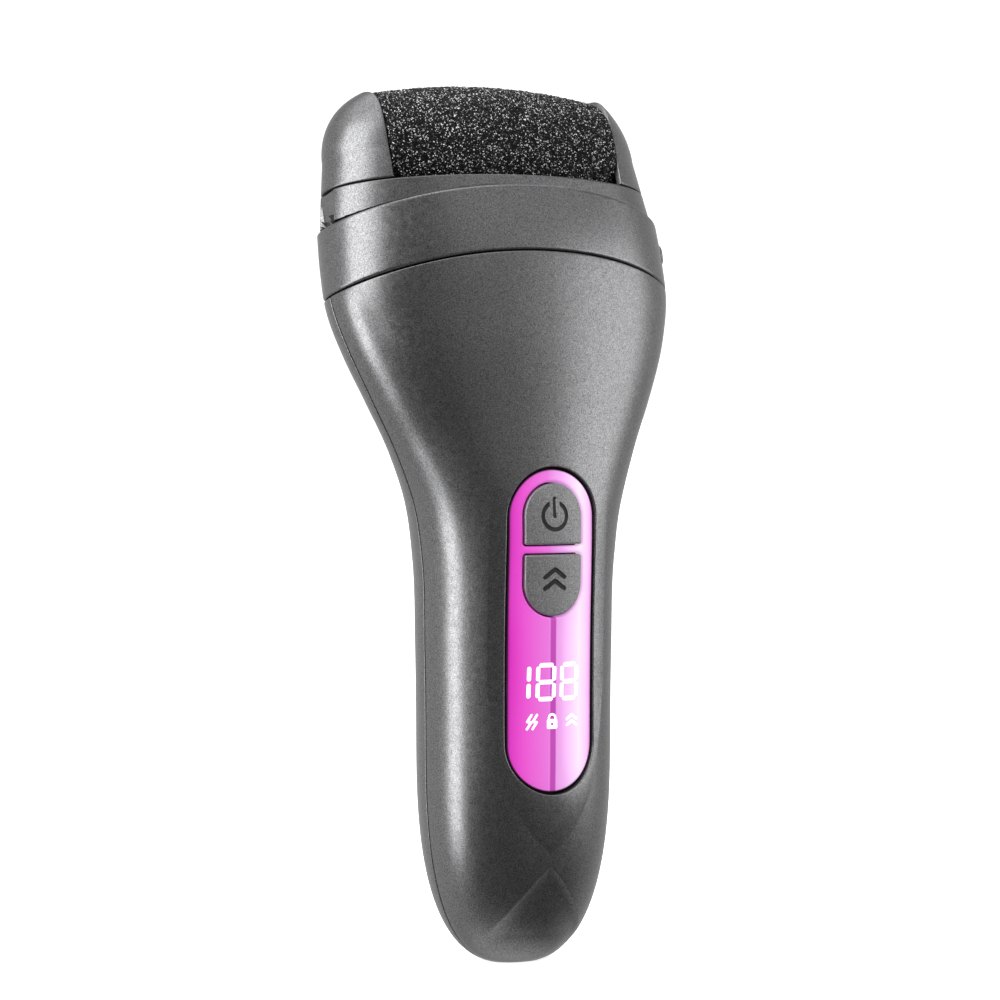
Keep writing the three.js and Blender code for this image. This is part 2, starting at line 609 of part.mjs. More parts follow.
function reductionGear() {
  const bore = REDUCTION_AXLE.radius + GAP;
  return joined(
    gear(TEETH.input, INPUT_MODULE, INPUT_FACE, REDUCTION_AXIS, 0, bore),
    gear(TEETH.outputPinion, OUTPUT_MODULE, OUTPUT_PINION_FACE, REDUCTION_AXIS, outputPinionPhase, bore));
}

// keeps a round piece between two flats, front and back of the motor's axis
const betweenFlats = (flat) => box([-FAR, FAR], [-flat, flat], [-FAR, FAR]);

function motorCan() {
  const round = bar(MOTOR.radius, MOTOR.x, MOTOR_AXIS, 28);
  const nose = bar(MOTOR.nose, [MOTOR.noseEnd, MOTOR.x[0] + JOIN], MOTOR_AXIS, 16);
  const bore = bar(MOTOR_SHAFT.radius + GAP, [MOTOR.noseEnd - 1, MOTOR.boreEnd], MOTOR_AXIS, 12);
  return less(round.intersect(betweenFlats(MOTOR.flat)).add(nose), bore);
}

function motorEndCap() {
  return bar(MOTOR_CAP.radius, MOTOR_CAP.x, MOTOR_AXIS, 24).intersect(betweenFlats(MOTOR_CAP.flat));
}

// upright plate with an ear round the drive axle and clearance holes: each hole is [axis, radius, sides]
function earPlate({ half, x, w }, holes) {
  const plate = prism(rectangle([-half, half], w), "yz", ...x).add(bar(EAR, x, DRIVE_AXIS, 16));
  const through = [x[0] - 1, x[1] + 1];
  return less(plate, ...holes.map(([axis, radius, sides]) => bar(radius + GAP, through, axis, sides)));
}

const axleHoles = [[DRIVE_AXIS, DRIVE_AXLE.radius, 16], [REDUCTION_AXIS, REDUCTION_AXLE.radius, 16]];
const motorScrewAxes = [-1, 1].map((side) => ({ v: side * MOTOR_SCREW.v, w: MOTOR_AXIS.w }));

function motorBracket() {
  const screwHoles = motorScrewAxes.map((axis) => [axis, MOTOR_SCREW.radius, 10]);
  return earPlate(BRACKET, [[MOTOR_AXIS, MOTOR.nose, 16], ...axleHoles, ...screwHoles]);
}

function motorScrew(axis) {
  return joined(
    bar(MOTOR_SCREW.head, MOTOR_SCREW.headX, axis, 10), bar(MOTOR_SCREW.radius, MOTOR_SCREW.x, axis, 10));
}

// ---------------------------------------------------------------- lift-off head
const spigotSection = (inset) => (w, angle) => {
  const [x, v] = superellipse(SPIGOT.half - inset, SPIGOT.deep - inset, BODY_POWER, angle);
  return new THREE.Vector3(x, v, w);
};
const HEAD_LEVELS = [31, 34.1, 37, 39.6, 42, 44, 45.6];
const HEAD_RING_LEVELS = [18, 21, RIM, CHEEK_LINE - SEAM];
const SPIGOT_HOLLOW = [10, 30]; // runs past both ends of the plug
const CHEEK_CREST = 46.8; // above the cheeks' highest points, which their inner faces cut off
const CHEEK_ROOT = 26; // below the cheeks
const CHEEK_BASE = CHEEK_LINE + SEAM;

function rollerRadius(x) {
  return ROLLER.mid - (ROLLER.mid - ROLLER.end) * (x / ROLLER.half) ** 2;
}

// the crowned profile from -half to +half, moved out by margin
function crown(half, margin) {
  const steps = 8;
  return Array.from({ length: steps + 1 }, (_, i) => {
    const x = half * ((2 * i) / steps - 1);
    return [x, rollerRadius(x) + margin];
  });
}

// running space around the roller
const rollerRoom = turned(
  [[-CHEEK_INNER, 0], ...crown(CHEEK_INNER, ROLLER.space), [CHEEK_INNER, 0]], ROLLER, 32);

function headBase() {
  const ring = loft(HEAD_RING_LEVELS, 36, (w, a) => headPoint(w, a, 0))
    .intersect(aboveArch(RIM + GAP, RIM_DROP, RIM_SPAN));
  const spigot = loft([SPIGOT.low, SPIGOT.high], 32, spigotSection(0));
  const hollow = loft(SPIGOT_HOLLOW, 32, spigotSection(SPIGOT.wall));
  return less(joined(ring, spigot), hollow, rollerRoom,
    box(CATCH_SLOT.x, CATCH_SLOT.v, CATCH_SLOT.w), box(SIDE_NOTCH.x, SIDE_NOTCH.v, SIDE_NOTCH.w));
}

// range of X on one side of the head: -1 left, 1 right
const onSide = (side, [near, far]) => (side > 0 ? [near, far] : [-far, -near]);

function cheek(side) {
  const skin = loft([CHEEK_BASE, ...HEAD_LEVELS, CHEEK_CREST], 36, (w, a) => headPoint(w, a, 0));
  const inner = loft([CHEEK_ROOT, ...HEAD_LEVELS], 32, (w, a) => headPoint(w, a, CHEEK_WALL));
  return skin.subtract(inner).intersect(box(onSide(side, [CHEEK_INNER, FAR]), ACROSS, [0, FAR]));
}

function bearingPlate(side, ...holes) {
  const { x, low, step, high } = BEARING_PLATE;
  const face = onSide(side, x);
  const upper = loft([CHEEK_ROOT, ...HEAD_LEVELS, high], 32, (w, a) => headPoint(w, a, CHEEK_WALL + GAP))
    .intersect(box(face, ACROSS, [CHEEK_BASE, FAR]));
  const lower = loft([low, step], 32, spigotSection(SPIGOT.wall + GAP))
    .intersect(box(face, ACROSS, [low, step]));
  return less(joined(upper, lower),
    ...holes.map(([axis, radius, sides]) => bar(radius + GAP, ACROSS, axis, sides)));
}

function idlerPin() {
  return joined(
    bar(IDLER_PIN.radius, IDLER_PIN.x, IDLER_AXIS, 16),
    bar(IDLER_PIN.head, IDLER_PIN.headX, IDLER_AXIS, 16));
}

function dustTray() {
  return loft(DUST_TRAY.w, 32, spigotSection(SPIGOT.wall + GAP))
    .intersect(box([-DUST_TRAY.half, DUST_TRAY.half], ACROSS, [0, FAR]))
    .subtract(rollerRoom);
}

// ---------------------------------------------------------------- roller
function abrasiveSleeve() {
  const { half, bore, edge, end } = ROLLER;
  const flat = half - edge;
  const tip = end - edge;
  const corner = Math.SQRT1_2 * edge;
  return turned([
    [-half, bore], [-half, tip], [-flat - corner, tip + corner],
    ...crown(flat, 0),
    [flat + corner, tip + corner], [half, tip], [half, bore],
  ], ROLLER, 32);
}

function rollerCore() {
  const { half, inner } = ROLLER_CORE;
  const outer = ROLLER.bore - GAP;
  return turned([[-half, inner], [-half, outer], [half, outer], [half, inner]], ROLLER, 28);
}

function rollerCap(side, bore) {
  const { x, plug } = ROLLER_CAP;
  return less(
    joined(
      bar(ROLLER.bore - GAP, onSide(side, x), ROLLER, 28),
      bar(ROLLER_CORE.inner - GAP, onSide(side, [plug, x[0] + JOIN]), ROLLER, 24)),
    bore);
}

function driveSpindle() {
  return joined(
    bar(SPINDLE.radius, SPINDLE.x, ROLLER, 16),
    bar(HEX_DRIVE, SPINDLE.collarX, ROLLER, 20),
    bar(HEX_DRIVE, SPINDLE.hexX, ROLLER, 6));
}

function pivotPin() {
  return joined(
    bar(PIVOT_PIN.radius, PIVOT_PIN.x, ROLLER, 20), bar(PIVOT_PIN.head, PIVOT_PIN.headX, ROLLER, 20));
}

// ---------------------------------------------------------------- finishes
const finish = (color, roughness, metalness) =>
  new THREE.MeshStandardMaterial({ color, roughness, metalness });
const FINISH = {
  body: finish(0x55565a, 0.55, 0.35),
  button: finish(0x66676a, 0.6, 0.2),
  lens: finish(0xe046d0, 0.12, 0.1),
  dark: finish(0x1b1b1d, 0.6, 0),
  grit: finish(0x1a1a1c, 0.95, 0),
  board: finish(0x1f5a34, 0.6, 0),
  cell: finish(0x2f6fb0, 0.45, 0),
  steel: finish(0xb8babd, 0.35, 1),
  brass: finish(0xc29a4a, 0.35, 1),
  gear: finish(0xe9e6da, 0.5, 0),
  display: finish(0xf2f2f2, 0.4, 0),
  silicone: finish(0x3b3c3f, 0.8, 0),
};

// ---------------------------------------------------------------- assembly
const handle = new THREE.Group();
const neck = new THREE.Group();
neck.position.set(0, PIVOT_Y, PIVOT_Z);
neck.rotation.x = -LEAN;
handle.add(neck);

function place(group, name, manifold, material) {
  const mesh = new THREE.Mesh(geometryOf(manifold), material);
  mesh.name = name;
  group.add(mesh);
}

place(handle, "front_shell", frontShell(), FINISH.body);
place(handle, "rear_shell", rearShell(), FINISH.body);
place(handle, "display_lens", displayLens(), FINISH.lens);
place(handle, "lens_carrier", lensCarrier(), FINISH.dark);
place(handle, "power_button", button(POWER_BUTTON), FINISH.button);
place(handle, "boost_button", button(BOOST_BUTTON), FINISH.button);
place(handle, "button_membrane", buttonMembrane(), FINISH.silicone);
place(handle, "upper_tact_switch", tactSwitch(POWER_BUTTON), FINISH.dark);
place(handle, "lower_tact_switch", tactSwitch(BOOST_BUTTON), FINISH.dark);
place(handle, "digit_display", box(DIGITS.x, DIGITS.y, DIGITS.z), FINISH.display);
place(handle, "display_board", box(DISPLAY_BOARD.x, DISPLAY_BOARD.y, DISPLAY_BOARD.z), FINISH.board);
place(handle, "battery_cell", batteryCell(), FINISH.cell);
place(handle, "battery_cradle", batteryCradle(), FINISH.dark);
place(handle, "charge_board", box(CHARGE_BOARD.x, CHARGE_BOARD.y, CHARGE_BOARD.z), FINISH.board);
place(handle, "usb_socket", usbSocket(), FINISH.steel);
place(handle, "port_cover", portCover(), FINISH.silicone);

place(neck, "collar", collar(), FINISH.body);
place(neck, "deck_plate", deckPlate(), FINISH.dark);
screwPlaces.forEach((at, i) => place(neck, `deck_screw_${i + 1}`, deckScrew(at), FINISH.steel));
place(neck, "release_button", releaseButton(), FINISH.body);
place(neck, "latch_arm", latchArm(), FINISH.steel);
place(neck, "latch_spring", latchSpring(), FINISH.steel);

place(neck, "motor_can", motorCan(), FINISH.steel);
place(neck, "motor_end_cap", motorEndCap(), FINISH.dark);
place(neck, "motor_shaft", bar(MOTOR_SHAFT.radius, MOTOR_SHAFT.x, MOTOR_AXIS, 12), FINISH.steel);
place(neck, "motor_pinion",
  gear(TEETH.motor, INPUT_MODULE, MOTOR_PINION_FACE, MOTOR_AXIS, motorPhase, MOTOR_SHAFT.radius + GAP),
  FINISH.brass);
place(neck, "motor_bracket", motorBracket(), FINISH.steel);
motorScrewAxes.forEach((axis, i) => place(neck, `motor_screw_${i + 1}`, motorScrew(axis), FINISH.steel));
place(neck, "gear_plate", earPlate(GEAR_PLATE, axleHoles), FINISH.steel);
place(neck, "reduction_gear", reductionGear(), FINISH.gear);
place(neck, "reduction_axle", bar(REDUCTION_AXLE.radius, REDUCTION_AXLE.x, REDUCTION_AXIS, 16), FINISH.steel);
place(neck, "output_gear",
  gear(TEETH.output, OUTPUT_MODULE, OUTPUT_FACE, DRIVE_AXIS, 0, DRIVE_AXLE.radius + GAP), FINISH.gear);
place(neck, "drive_axle", bar(DRIVE_AXLE.radius, DRIVE_AXLE.x, DRIVE_AXIS, 16), FINISH.steel);
place(neck, "drive_gear",
  gear(TEETH.drive, FINAL_MODULE, FINAL_FACE, DRIVE_AXIS, drivePhase, DRIVE_AXLE.radius + GAP), FINISH.gear);

place(neck, "head_base", headBase(), FINISH.body);
place(neck, "left_cheek", cheek(-1), FINISH.body);
place(neck, "right_cheek", cheek(1), FINISH.body);
place(neck, "left_bearing_plate",
  bearingPlate(-1, [ROLLER, HEX_DRIVE, 20], [IDLER_AXIS, IDLER_PIN.radius, 16]), FINISH.dark);
place(neck, "right_bearing_plate", bearingPlate(1, [ROLLER, PIVOT_PIN.radius, 20]), FINISH.dark);
place(neck, "dust_tray", dustTray(), FINISH.dark);
place(neck, "idler_gear",
  gear(TEETH.idler, FINAL_MODULE, FINAL_FACE, IDLER_AXIS, idlerPhase, IDLER_PIN.radius + GAP), FINISH.gear);
place(neck, "idler_pin", idlerPin(), FINISH.steel);
place(neck, "pivot_pin", pivotPin(), FINISH.steel);

place(neck, "abrasive_sleeve", abrasiveSleeve(), FINISH.grit);
place(neck, "roller_core", rollerCore(), FINISH.dark);
place(neck, "left_roller_cap", rollerCap(-1, bar(HEX_DRIVE + GAP, ACROSS, ROLLER, 6)), FINISH.dark);
place(neck, "right_roller_cap", rollerCap(1, bar(PIVOT_PIN.radius + GAP, ACROSS, ROLLER, 20)), FINISH.dark);
place(neck, "roller_gear",
  gear(TEETH.roller, FINAL_MODULE, FINAL_FACE, ROLLER, rollerPhase, SPINDLE.radius + GAP), FINISH.gear);
place(neck, "drive_spindle", driveSpindle(), FINISH.steel);

export default handle;
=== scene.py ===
"""Looks of the cordless callus remover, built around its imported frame.

Metres in Blender, and millimetres in the formulas below, which are those of the CAD model: +Z up along the
handle, -Y the front, and a leaning frame (x, v, w) above the bend, with w up along the lean and v towards
the back.
"""
import json
import math

import bpy
import numpy as np
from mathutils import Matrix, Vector

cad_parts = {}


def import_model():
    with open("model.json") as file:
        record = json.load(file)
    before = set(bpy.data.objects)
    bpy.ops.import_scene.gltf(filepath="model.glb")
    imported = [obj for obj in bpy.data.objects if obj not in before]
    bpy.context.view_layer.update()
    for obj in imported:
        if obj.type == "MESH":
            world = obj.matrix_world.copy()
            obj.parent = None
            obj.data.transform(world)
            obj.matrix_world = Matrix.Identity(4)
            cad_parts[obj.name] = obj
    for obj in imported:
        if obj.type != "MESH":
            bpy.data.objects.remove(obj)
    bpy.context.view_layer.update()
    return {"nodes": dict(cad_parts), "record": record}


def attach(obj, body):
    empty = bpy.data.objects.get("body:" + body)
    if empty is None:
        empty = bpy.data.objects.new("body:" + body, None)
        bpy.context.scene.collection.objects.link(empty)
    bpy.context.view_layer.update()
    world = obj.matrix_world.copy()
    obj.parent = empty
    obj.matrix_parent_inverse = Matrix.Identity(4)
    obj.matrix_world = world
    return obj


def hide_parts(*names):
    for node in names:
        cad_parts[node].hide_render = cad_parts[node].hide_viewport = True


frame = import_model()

MM = 0.001
FINE = 0.5  # spacing of the body's mesh, in millimetres

# ------------------------------------------------------------------ driving dimensions, as in the CAD model
LEAN = math.radians(15)
BEND_START = 88
BEND_RADIUS = 118
BODY_POWER = 2.15
HALF_WIDTH = [
    (0, 19.2), (60, 19.2), (76, 19.7), (86, 21.3), (96, 25.0), (106, 29.6),
    (116, 33.7), (124, 35.8), (132, 36.0), (140, 35.6), (146, 35.4),
]
HALF_DEPTH = [(0, 15.1), (60, 15.3), (86, 15.6), (100, 14.2), (116, 15.6), (132, 17.0), (146, 16.8)]
TAIL_LENGTH = 44
TAIL_POWER = 2.65
TAIL_FLAT = 0.5
WALL, RING_WALL, CHEEK_WALL, LENS_THICK, FLAP_THICK = 2.0, 1.5, 1.1, 1.6, 0.65
GAP = 0.3
SEAM = 0.15
COLLAR_LOW, COLLAR_LOW_DROP, COLLAR_LOW_SPAN = 11.5, 4.6, 36
RIM, RIM_DROP, RIM_SPAN = 24.4, 4.2, 35
CHEEK_LINE = 27.1
HEAD_TOP = 47.8
HEAD_CORNER = 14.3
HEAD_HALF_LOW, HEAD_HALF_TOP = 34.9, 33.3
HEAD_DEPTH = 14.6
SPIGOT_HALF, SPIGOT_DEEP, SPIGOT_LOW = 33.1, 13.9, 17.8
CHEEK_INNER = 24.9
ROLLER_V, ROLLER_W, ROLLER_MID, ROLLER_END, ROLLER_HALF, ROLLER_BORE = 0.6, 35.2, 13.4, 11.1, 24.5, 9.8
LENS_RADIUS, LENS_LOW, LENS_HIGH, LENS_SUNK = 9.3, 42.2, 84.1, 0.6
BUTTON_HALF, BUTTON_SUNK, BUTTON_TALL, BUTTON_CORNER = 6.1, 0.35, 3.5, 0.4
MARK_DEEP, MARK_SIDE = 0.22, 0.12
POWER_FLAT, POWER_CENTRE = 79.2, 84.5
BOOST_FLAT, BOOST_CENTRE = 77.3, 72.0
COVER_HALF, COVER_LOW, COVER_HIGH = 6.8, 20.5, 28.1
PORT_HALF, PORT_LOW, PORT_HIGH, PORT_FLOOR = 4.8, 22.2, 26.2, (11.4, 12.3)
RELEASE_W, RELEASE_REACH, RELEASE_RADIUS, RELEASE_PROUD, RELEASE_DEEP = 15.3, 2.8, 2.2, 0.6, 4.5
SCREW_X, SCREW_V = 15, 10.6
GROOVE_HALF, GROOVE_FLOOR, GROOVE_SIDE = 3, 33.8, 0.2
VALLEY_EDGE = [(21.6, 0), (23, 1.9), (26, 4.8), (29.5, 7.1), (33, 8.8), (36.6, 9.8), (42, 11), (53, 12.6)]
WEDGE_EDGE = [(0, 19.2), (2.3, 17), (4.5, 14.4), (6.5, 11.7), (8.4, 8.9), (10, 6.5), (11, 5)]
VALLEY_SLOPE, PROW_SLOPE, VALLEY_RUN = 0.15, -0.14, 6
VALLEY_TURN, VALLEY_FADE = (30, 46), (70, 92)
WEDGE_DEPTH, WEDGE_RUN, WEDGE_FADE, WEDGE_SIDE_FADE = 0.55, 5, 6, 2.8

BEND_END = BEND_START + BEND_RADIUS * LEAN
PIVOT_Y = BEND_RADIUS * (1 - math.cos(LEAN))
PIVOT_Z = BEND_START + BEND_RADIUS * math.sin(LEAN)


# ------------------------------------------------------------------ formulas of the surfaces
def through(stations, x):
    """Cubic through the stations, with slopes taken from their neighbours."""
    xs, ys = np.array(stations, float).T
    step = np.diff(xs)
    slope = np.diff(ys) / step
    inner = (slope[:-1] * step[1:] + slope[1:] * step[:-1]) / (step[:-1] + step[1:])
    tangent = np.concatenate([slope[:1], inner, slope[-1:]])
    at = np.clip(x, xs[0], xs[-1])
    i = np.clip(np.searchsorted(xs, at) - 1, 0, len(step) - 1)
    t = (at - xs[i]) / step[i]
    low = (2 * t**3 - 3 * t**2 + 1) * ys[i] + (t**3 - 2 * t**2 + t) * step[i] * tangent[i]
    high = (3 * t**2 - 2 * t**3) * ys[i + 1] + (t**3 - t**2) * step[i] * tangent[i + 1]
    return low + high


def smoothstep(x, low, high):
    t = np.clip((x - low) / (high - low), 0, 1)
    return t * t * (3 - 2 * t)


def superellipse(half, deep, power, angle):
    c, n = np.cos(angle), np.sin(angle)
    return (half * np.sign(c) * np.abs(c) ** (2 / power),
            deep * np.sign(n) * np.abs(n) ** (2 / power))


def valley(x, z):
    """Distance inside the V-shaped valley's edge, which starts at its lowest point."""
    return np.where(z > VALLEY_EDGE[0][0], through(VALLEY_EDGE, z), -1) - np.abs(x)


def wedge(x, z):
    """How far a point is below the edge of the sunk wedge at the tail."""
    return np.where(np.abs(x) < WEDGE_EDGE[-1][0], through(WEDGE_EDGE, np.abs(x)) - z, -1)


def relief(x, z):
    fade = smoothstep(z, *VALLEY_FADE)
    slope = PROW_SLOPE + (VALLEY_SLOPE - PROW_SLOPE) * smoothstep(z, *VALLEY_TURN)
    half = np.maximum(valley(0, z), 0.001)
    inside = np.maximum((half**2 - x**2) / (2 * half), 0)
    depth = slope * VALLEY_RUN * (1 - np.exp(-inside / VALLEY_RUN)) * (1 - fade)
    run = np.maximum(wedge(x, z), 0) / WEDGE_RUN
    beside = WEDGE_EDGE[-1][0] - np.abs(x)
    fade = np.clip(z / WEDGE_FADE, 0, 1) * np.clip(beside / WEDGE_SIDE_FADE, 0, 1)
    return depth + WEDGE_DEPTH * run * np.exp(1 - run) * fade


def leaned(x, v, w):
    """World points of the leaning frame."""
    y = PIVOT_Y + w * math.sin(LEAN) + v * math.cos(LEAN)
    return np.stack([x, y, PIVOT_Z + w * math.cos(LEAN) - v * math.sin(LEAN)], -1)


def local(points):
    """(x, v, w) in the leaning frame of world points."""
    y, z = points[:, 1] - PIVOT_Y, points[:, 2] - PIVOT_Z
    return (points[:, 0], y * math.cos(LEAN) - z * math.sin(LEAN),
            y * math.sin(LEAN) + z * math.cos(LEAN))


def on_handle(inset=0.0, sunk=True):
    """The handle's outside: parameters are the distance along the spine, negative on the tail's flat, and
    the angle round the section."""
    def place(params):
        s, angle = params.T
        along = np.maximum(s, 0)
        u = np.clip(1 - (along + TAIL_FLAT) / TAIL_LENGTH, 0, 1)
        tail = (1 - u**TAIL_POWER) ** (1 / TAIL_POWER) * np.clip(1 + s, 0, 1)
        x, v = superellipse(through(HALF_WIDTH, along) * tail - inset,
                            through(HALF_DEPTH, along) * tail - inset, BODY_POWER, angle)
        if sunk:
            v = v + np.where(v < 0, relief(x, along), 0)
        bend = np.clip((along - BEND_START) / BEND_RADIUS, 0, LEAN)
        beyond = np.maximum(along - BEND_END, 0)
        y = BEND_RADIUS * (1 - np.cos(bend)) + beyond * math.sin(LEAN) + v * np.cos(bend)
        z = np.minimum(along, BEND_START) + BEND_RADIUS * np.sin(bend) + beyond * math.cos(LEAN)
        return np.stack([x, y, z - v * np.sin(bend)], -1)
    return place


def on_neck(inset=0.0):
    """The neck's outside above the bend: parameters are w and the angle."""
    def place(params):
        w, angle = params.T
        return leaned(*superellipse(through(HALF_WIDTH, BEND_END + w) - inset,
                                    through(HALF_DEPTH, BEND_END + w) - inset, BODY_POWER, angle), w)
    return place


CORNER_START = HEAD_TOP - HEAD_CORNER


def on_head(params):
    """The head's outside: the first parameter is the height above the corner's start, then the length
    along the corner's arc."""
    level, angle = params.T
    arc = np.maximum(level, 0) / HEAD_CORNER
    w = CORNER_START + np.minimum(level, 0) + HEAD_CORNER * np.sin(arc)
    flare = (CORNER_START - w) / (CORNER_START - RIM) * (HEAD_HALF_LOW - HEAD_HALF_TOP)
    half = HEAD_HALF_TOP - HEAD_CORNER + HEAD_CORNER * np.cos(arc) + np.maximum(flare, 0)
    return leaned(*superellipse(half, HEAD_DEPTH, 2, angle), w)


def arch(top, drop, span):
    """Distance above an arched line across the neck."""
    def field(points):
        x, _, w = local(points)
        return (w - top + drop * (x / span) ** 2) / np.hypot(1, 2 * drop * x / span**2)
    return field


# ------------------------------------------------------------------ outlines: positive distance inside
def rounded(a, b, radius):
    """Inside both a and b, with their corner rounded."""
    corner = radius - np.hypot(np.maximum(radius - a, 0), np.maximum(radius - b, 0))
    return np.where((a < radius) & (b < radius), corner, np.minimum(a, b))


FAR_OFF = 50.0  # stands for a distance from an edge that is on the other side of the object


def stroke(x, z, start, end, half):
    """A round-ended line."""
    (x0, z0), (x1, z1) = start, end
    length = (x1 - x0) ** 2 + (z1 - z0) ** 2
    t = np.clip(((x - x0) * (x1 - x0) + (z - z0) * (z1 - z0)) / length, 0, 1)
    return half - np.hypot(x - x0 - t * (x1 - x0), z - z0 - t * (z1 - z0))


def pill(x, z, margin=0.0):
    return stroke(x, z, (0, LENS_LOW), (0, LENS_HIGH), LENS_RADIUS + margin)


def slab(x, z, half, low, high, radius):
    """A rectangle with round corners, centred on x = 0."""
    return rounded(half - np.abs(x), np.minimum(z - low, high - z), radius)


def button_outline(flat, centre):
    """Flat on one side and a half circle on the other."""
    up = 1 if centre > flat else -1

    def field(x, z, margin=0.0):
        bulge = stroke(x, z, (0, centre), (0, centre - 40 * up), BUTTON_HALF + margin)
        return rounded(bulge, (z - flat) * up + margin, BUTTON_CORNER + margin)
    return field


power_outline = button_outline(POWER_FLAT, POWER_CENTRE)
boost_outline = button_outline(BOOST_FLAT, BOOST_CENTRE)


# ------------------------------------------------------------------ sheets: fine meshes cut along outlines
class Sheet:
    """A patch of a parametric surface, as points in the plane of its two parameters and faces between
    them. Cutting splits the faces exactly along a field's level, so that edges come out clean."""

    def __init__(self, place, first, second):
        self.place = place
        rows, columns = len(first), len(second)
        self.params = np.stack(np.meshgrid(first, second, indexing="ij"), -1).reshape(-1, 2)
        corner = np.arange(rows * columns).reshape(rows, columns)
        quads = np.stack([corner[:-1, :-1], corner[1:, :-1], corner[1:, 1:], corner[:-1, 1:]], -1)
        self.faces = quads.reshape(-1, 4).tolist()

    def values(self, field):
        return field(self.place(self.params))

    def cut(self, field, *levels):
        """Splits the faces along each level of the field."""
        for level in levels:
            values = self.values(field) - level
            side = np.where(np.abs(values) < 1e-5, 0, np.sign(values)).astype(int).tolist()
            made, extra, faces = {}, [], []
            for face in self.faces:
                sides = [side[i] for i in face]
                if min(sides) >= 0 or max(sides) <= 0:
                    faces.append(face)
                    continue
                above, below = [], []
                for i, j in zip(face, face[1:] + face[:1]):
                    if side[i] >= 0:
                        above.append(i)
                    if side[i] <= 0:
                        below.append(i)
                    if side[i] * side[j] < 0:
                        key = (min(i, j), max(i, j))
                        if key not in made:
                            made[key] = len(side) + len(extra)
                            a, b = key
                            share = values[a] / (values[a] - values[b])
                            extra.append(self.params[a] + share * (self.params[b] - self.params[a]))
                        above.append(made[key])
                        below.append(made[key])
                faces += [part for part in (above, below) if len(part) > 2]
            self.faces = faces
            if extra:
                self.params = np.vstack([self.params, extra])
        return self

    def keep(self, field):
        """Cuts at zero and drops what lies outside."""
        self.cut(field, 0)
        values = self.values(field)
        self.faces = [face for face in self.faces if sum(values[i] for i in face) > 0]
        return self

    def normals(self):
        """Outward unit normals of the surface at every point, by small steps in the parameters."""
        step = 1e-3
        along = self.place(self.params + (step, 0)) - self.place(self.params - (step, 0))
        across = self.place(self.params + (0, step)) - self.place(self.params - (0, step))
        normal = np.cross(across, along)
        size = np.linalg.norm(normal, axis=1, keepdims=True)
        return normal / np.maximum(size, 1e-12)


def edge_levels(radius, steps=4):
    """Distances from an edge that divide its quarter round evenly."""
    return [radius * (1 - math.cos(k * math.pi / 2 / steps)) for k in range(1, steps + 1)]


def shell(name, sheet, thickness, edges, radius=0.35, sink=None, dark=None):
    """A closed mesh of one sheet: its outside kept where edges is positive and rounded off along it, its
    inside moved in by thickness. sink(points) gives an extra depth, and dark(points) marks the faces that
    take the second material."""
    for level in reversed(edge_levels(radius)):
        sheet.cut(edges, level)
    sheet.keep(edges)
    base = sheet.place(sheet.params)
    _, first, index = np.unique(np.round(base, 4), axis=0, return_index=True, return_inverse=True)
    index = index.reshape(-1)
    faces = []
    for face in sheet.faces:
        ring = [index[i] for i in face]
        ring = [a for k, a in enumerate(ring) if a != ring[k - 1]]
        if len(ring) > 2:
            faces.append(ring)
    inward = -sheet.normals()[first]
    base = base[first]
    near = np.clip(edges(base), 0, radius)
    roll = radius - np.sqrt(np.maximum(radius**2 - (radius - near) ** 2, 0))
    if sink:
        roll = roll + sink(base)
    outside = base + inward * roll[:, None]
    inside = base + inward * thickness
    count = len(base)
    used = {}
    for ring in faces:
        for a, b in zip(ring, ring[1:] + ring[:1]):
            used[(a, b)] = True
    rim = [[b, a, a + count, b + count] for a, b in used if (b, a) not in used]
    inner = [[a + count for a in reversed(ring)] for ring in faces]
    made = mesh_object(name, np.vstack([outside, inside]), faces + inner + rim)
    if dark:
        marked = dark(base)
        for polygon, ring in zip(made.data.polygons, faces):
            if sum(marked[i] for i in ring) > 0.5 * len(ring):
                polygon.material_index = 1
    return made


def mesh_object(name, points, faces, sharp=38):
    """A smooth-shaded mesh from millimetres, without its unused points."""
    used = np.unique(np.concatenate([np.asarray(face) for face in faces]))
    renumber = np.zeros(len(points), int)
    renumber[used] = np.arange(len(used))
    mesh = bpy.data.meshes.new(name)
    mesh.from_pydata((points[used] * MM).tolist(), [], [[int(renumber[i]) for i in face] for face in faces])
    mesh.validate()
    mesh.polygons.foreach_set("use_smooth", [True] * len(mesh.polygons))
    mesh.set_sharp_from_angle(angle=math.radians(sharp))
    made = bpy.data.objects.new(name, mesh)
    bpy.context.scene.collection.objects.link(made)
    return made


def spaced(low, high, step):
    return np.linspace(low, high, max(2, round((high - low) / step) + 1))


# ------------------------------------------------------------------ procedural materials
def linear(red, green, blue):
    """Linear colour of screen values from 0 to 255."""
    values = [((c / 255 + 0.055) / 1.055) ** 2.4 if c > 10 else c / 3295 for c in (red, green, blue)]
    return (*values, 1)


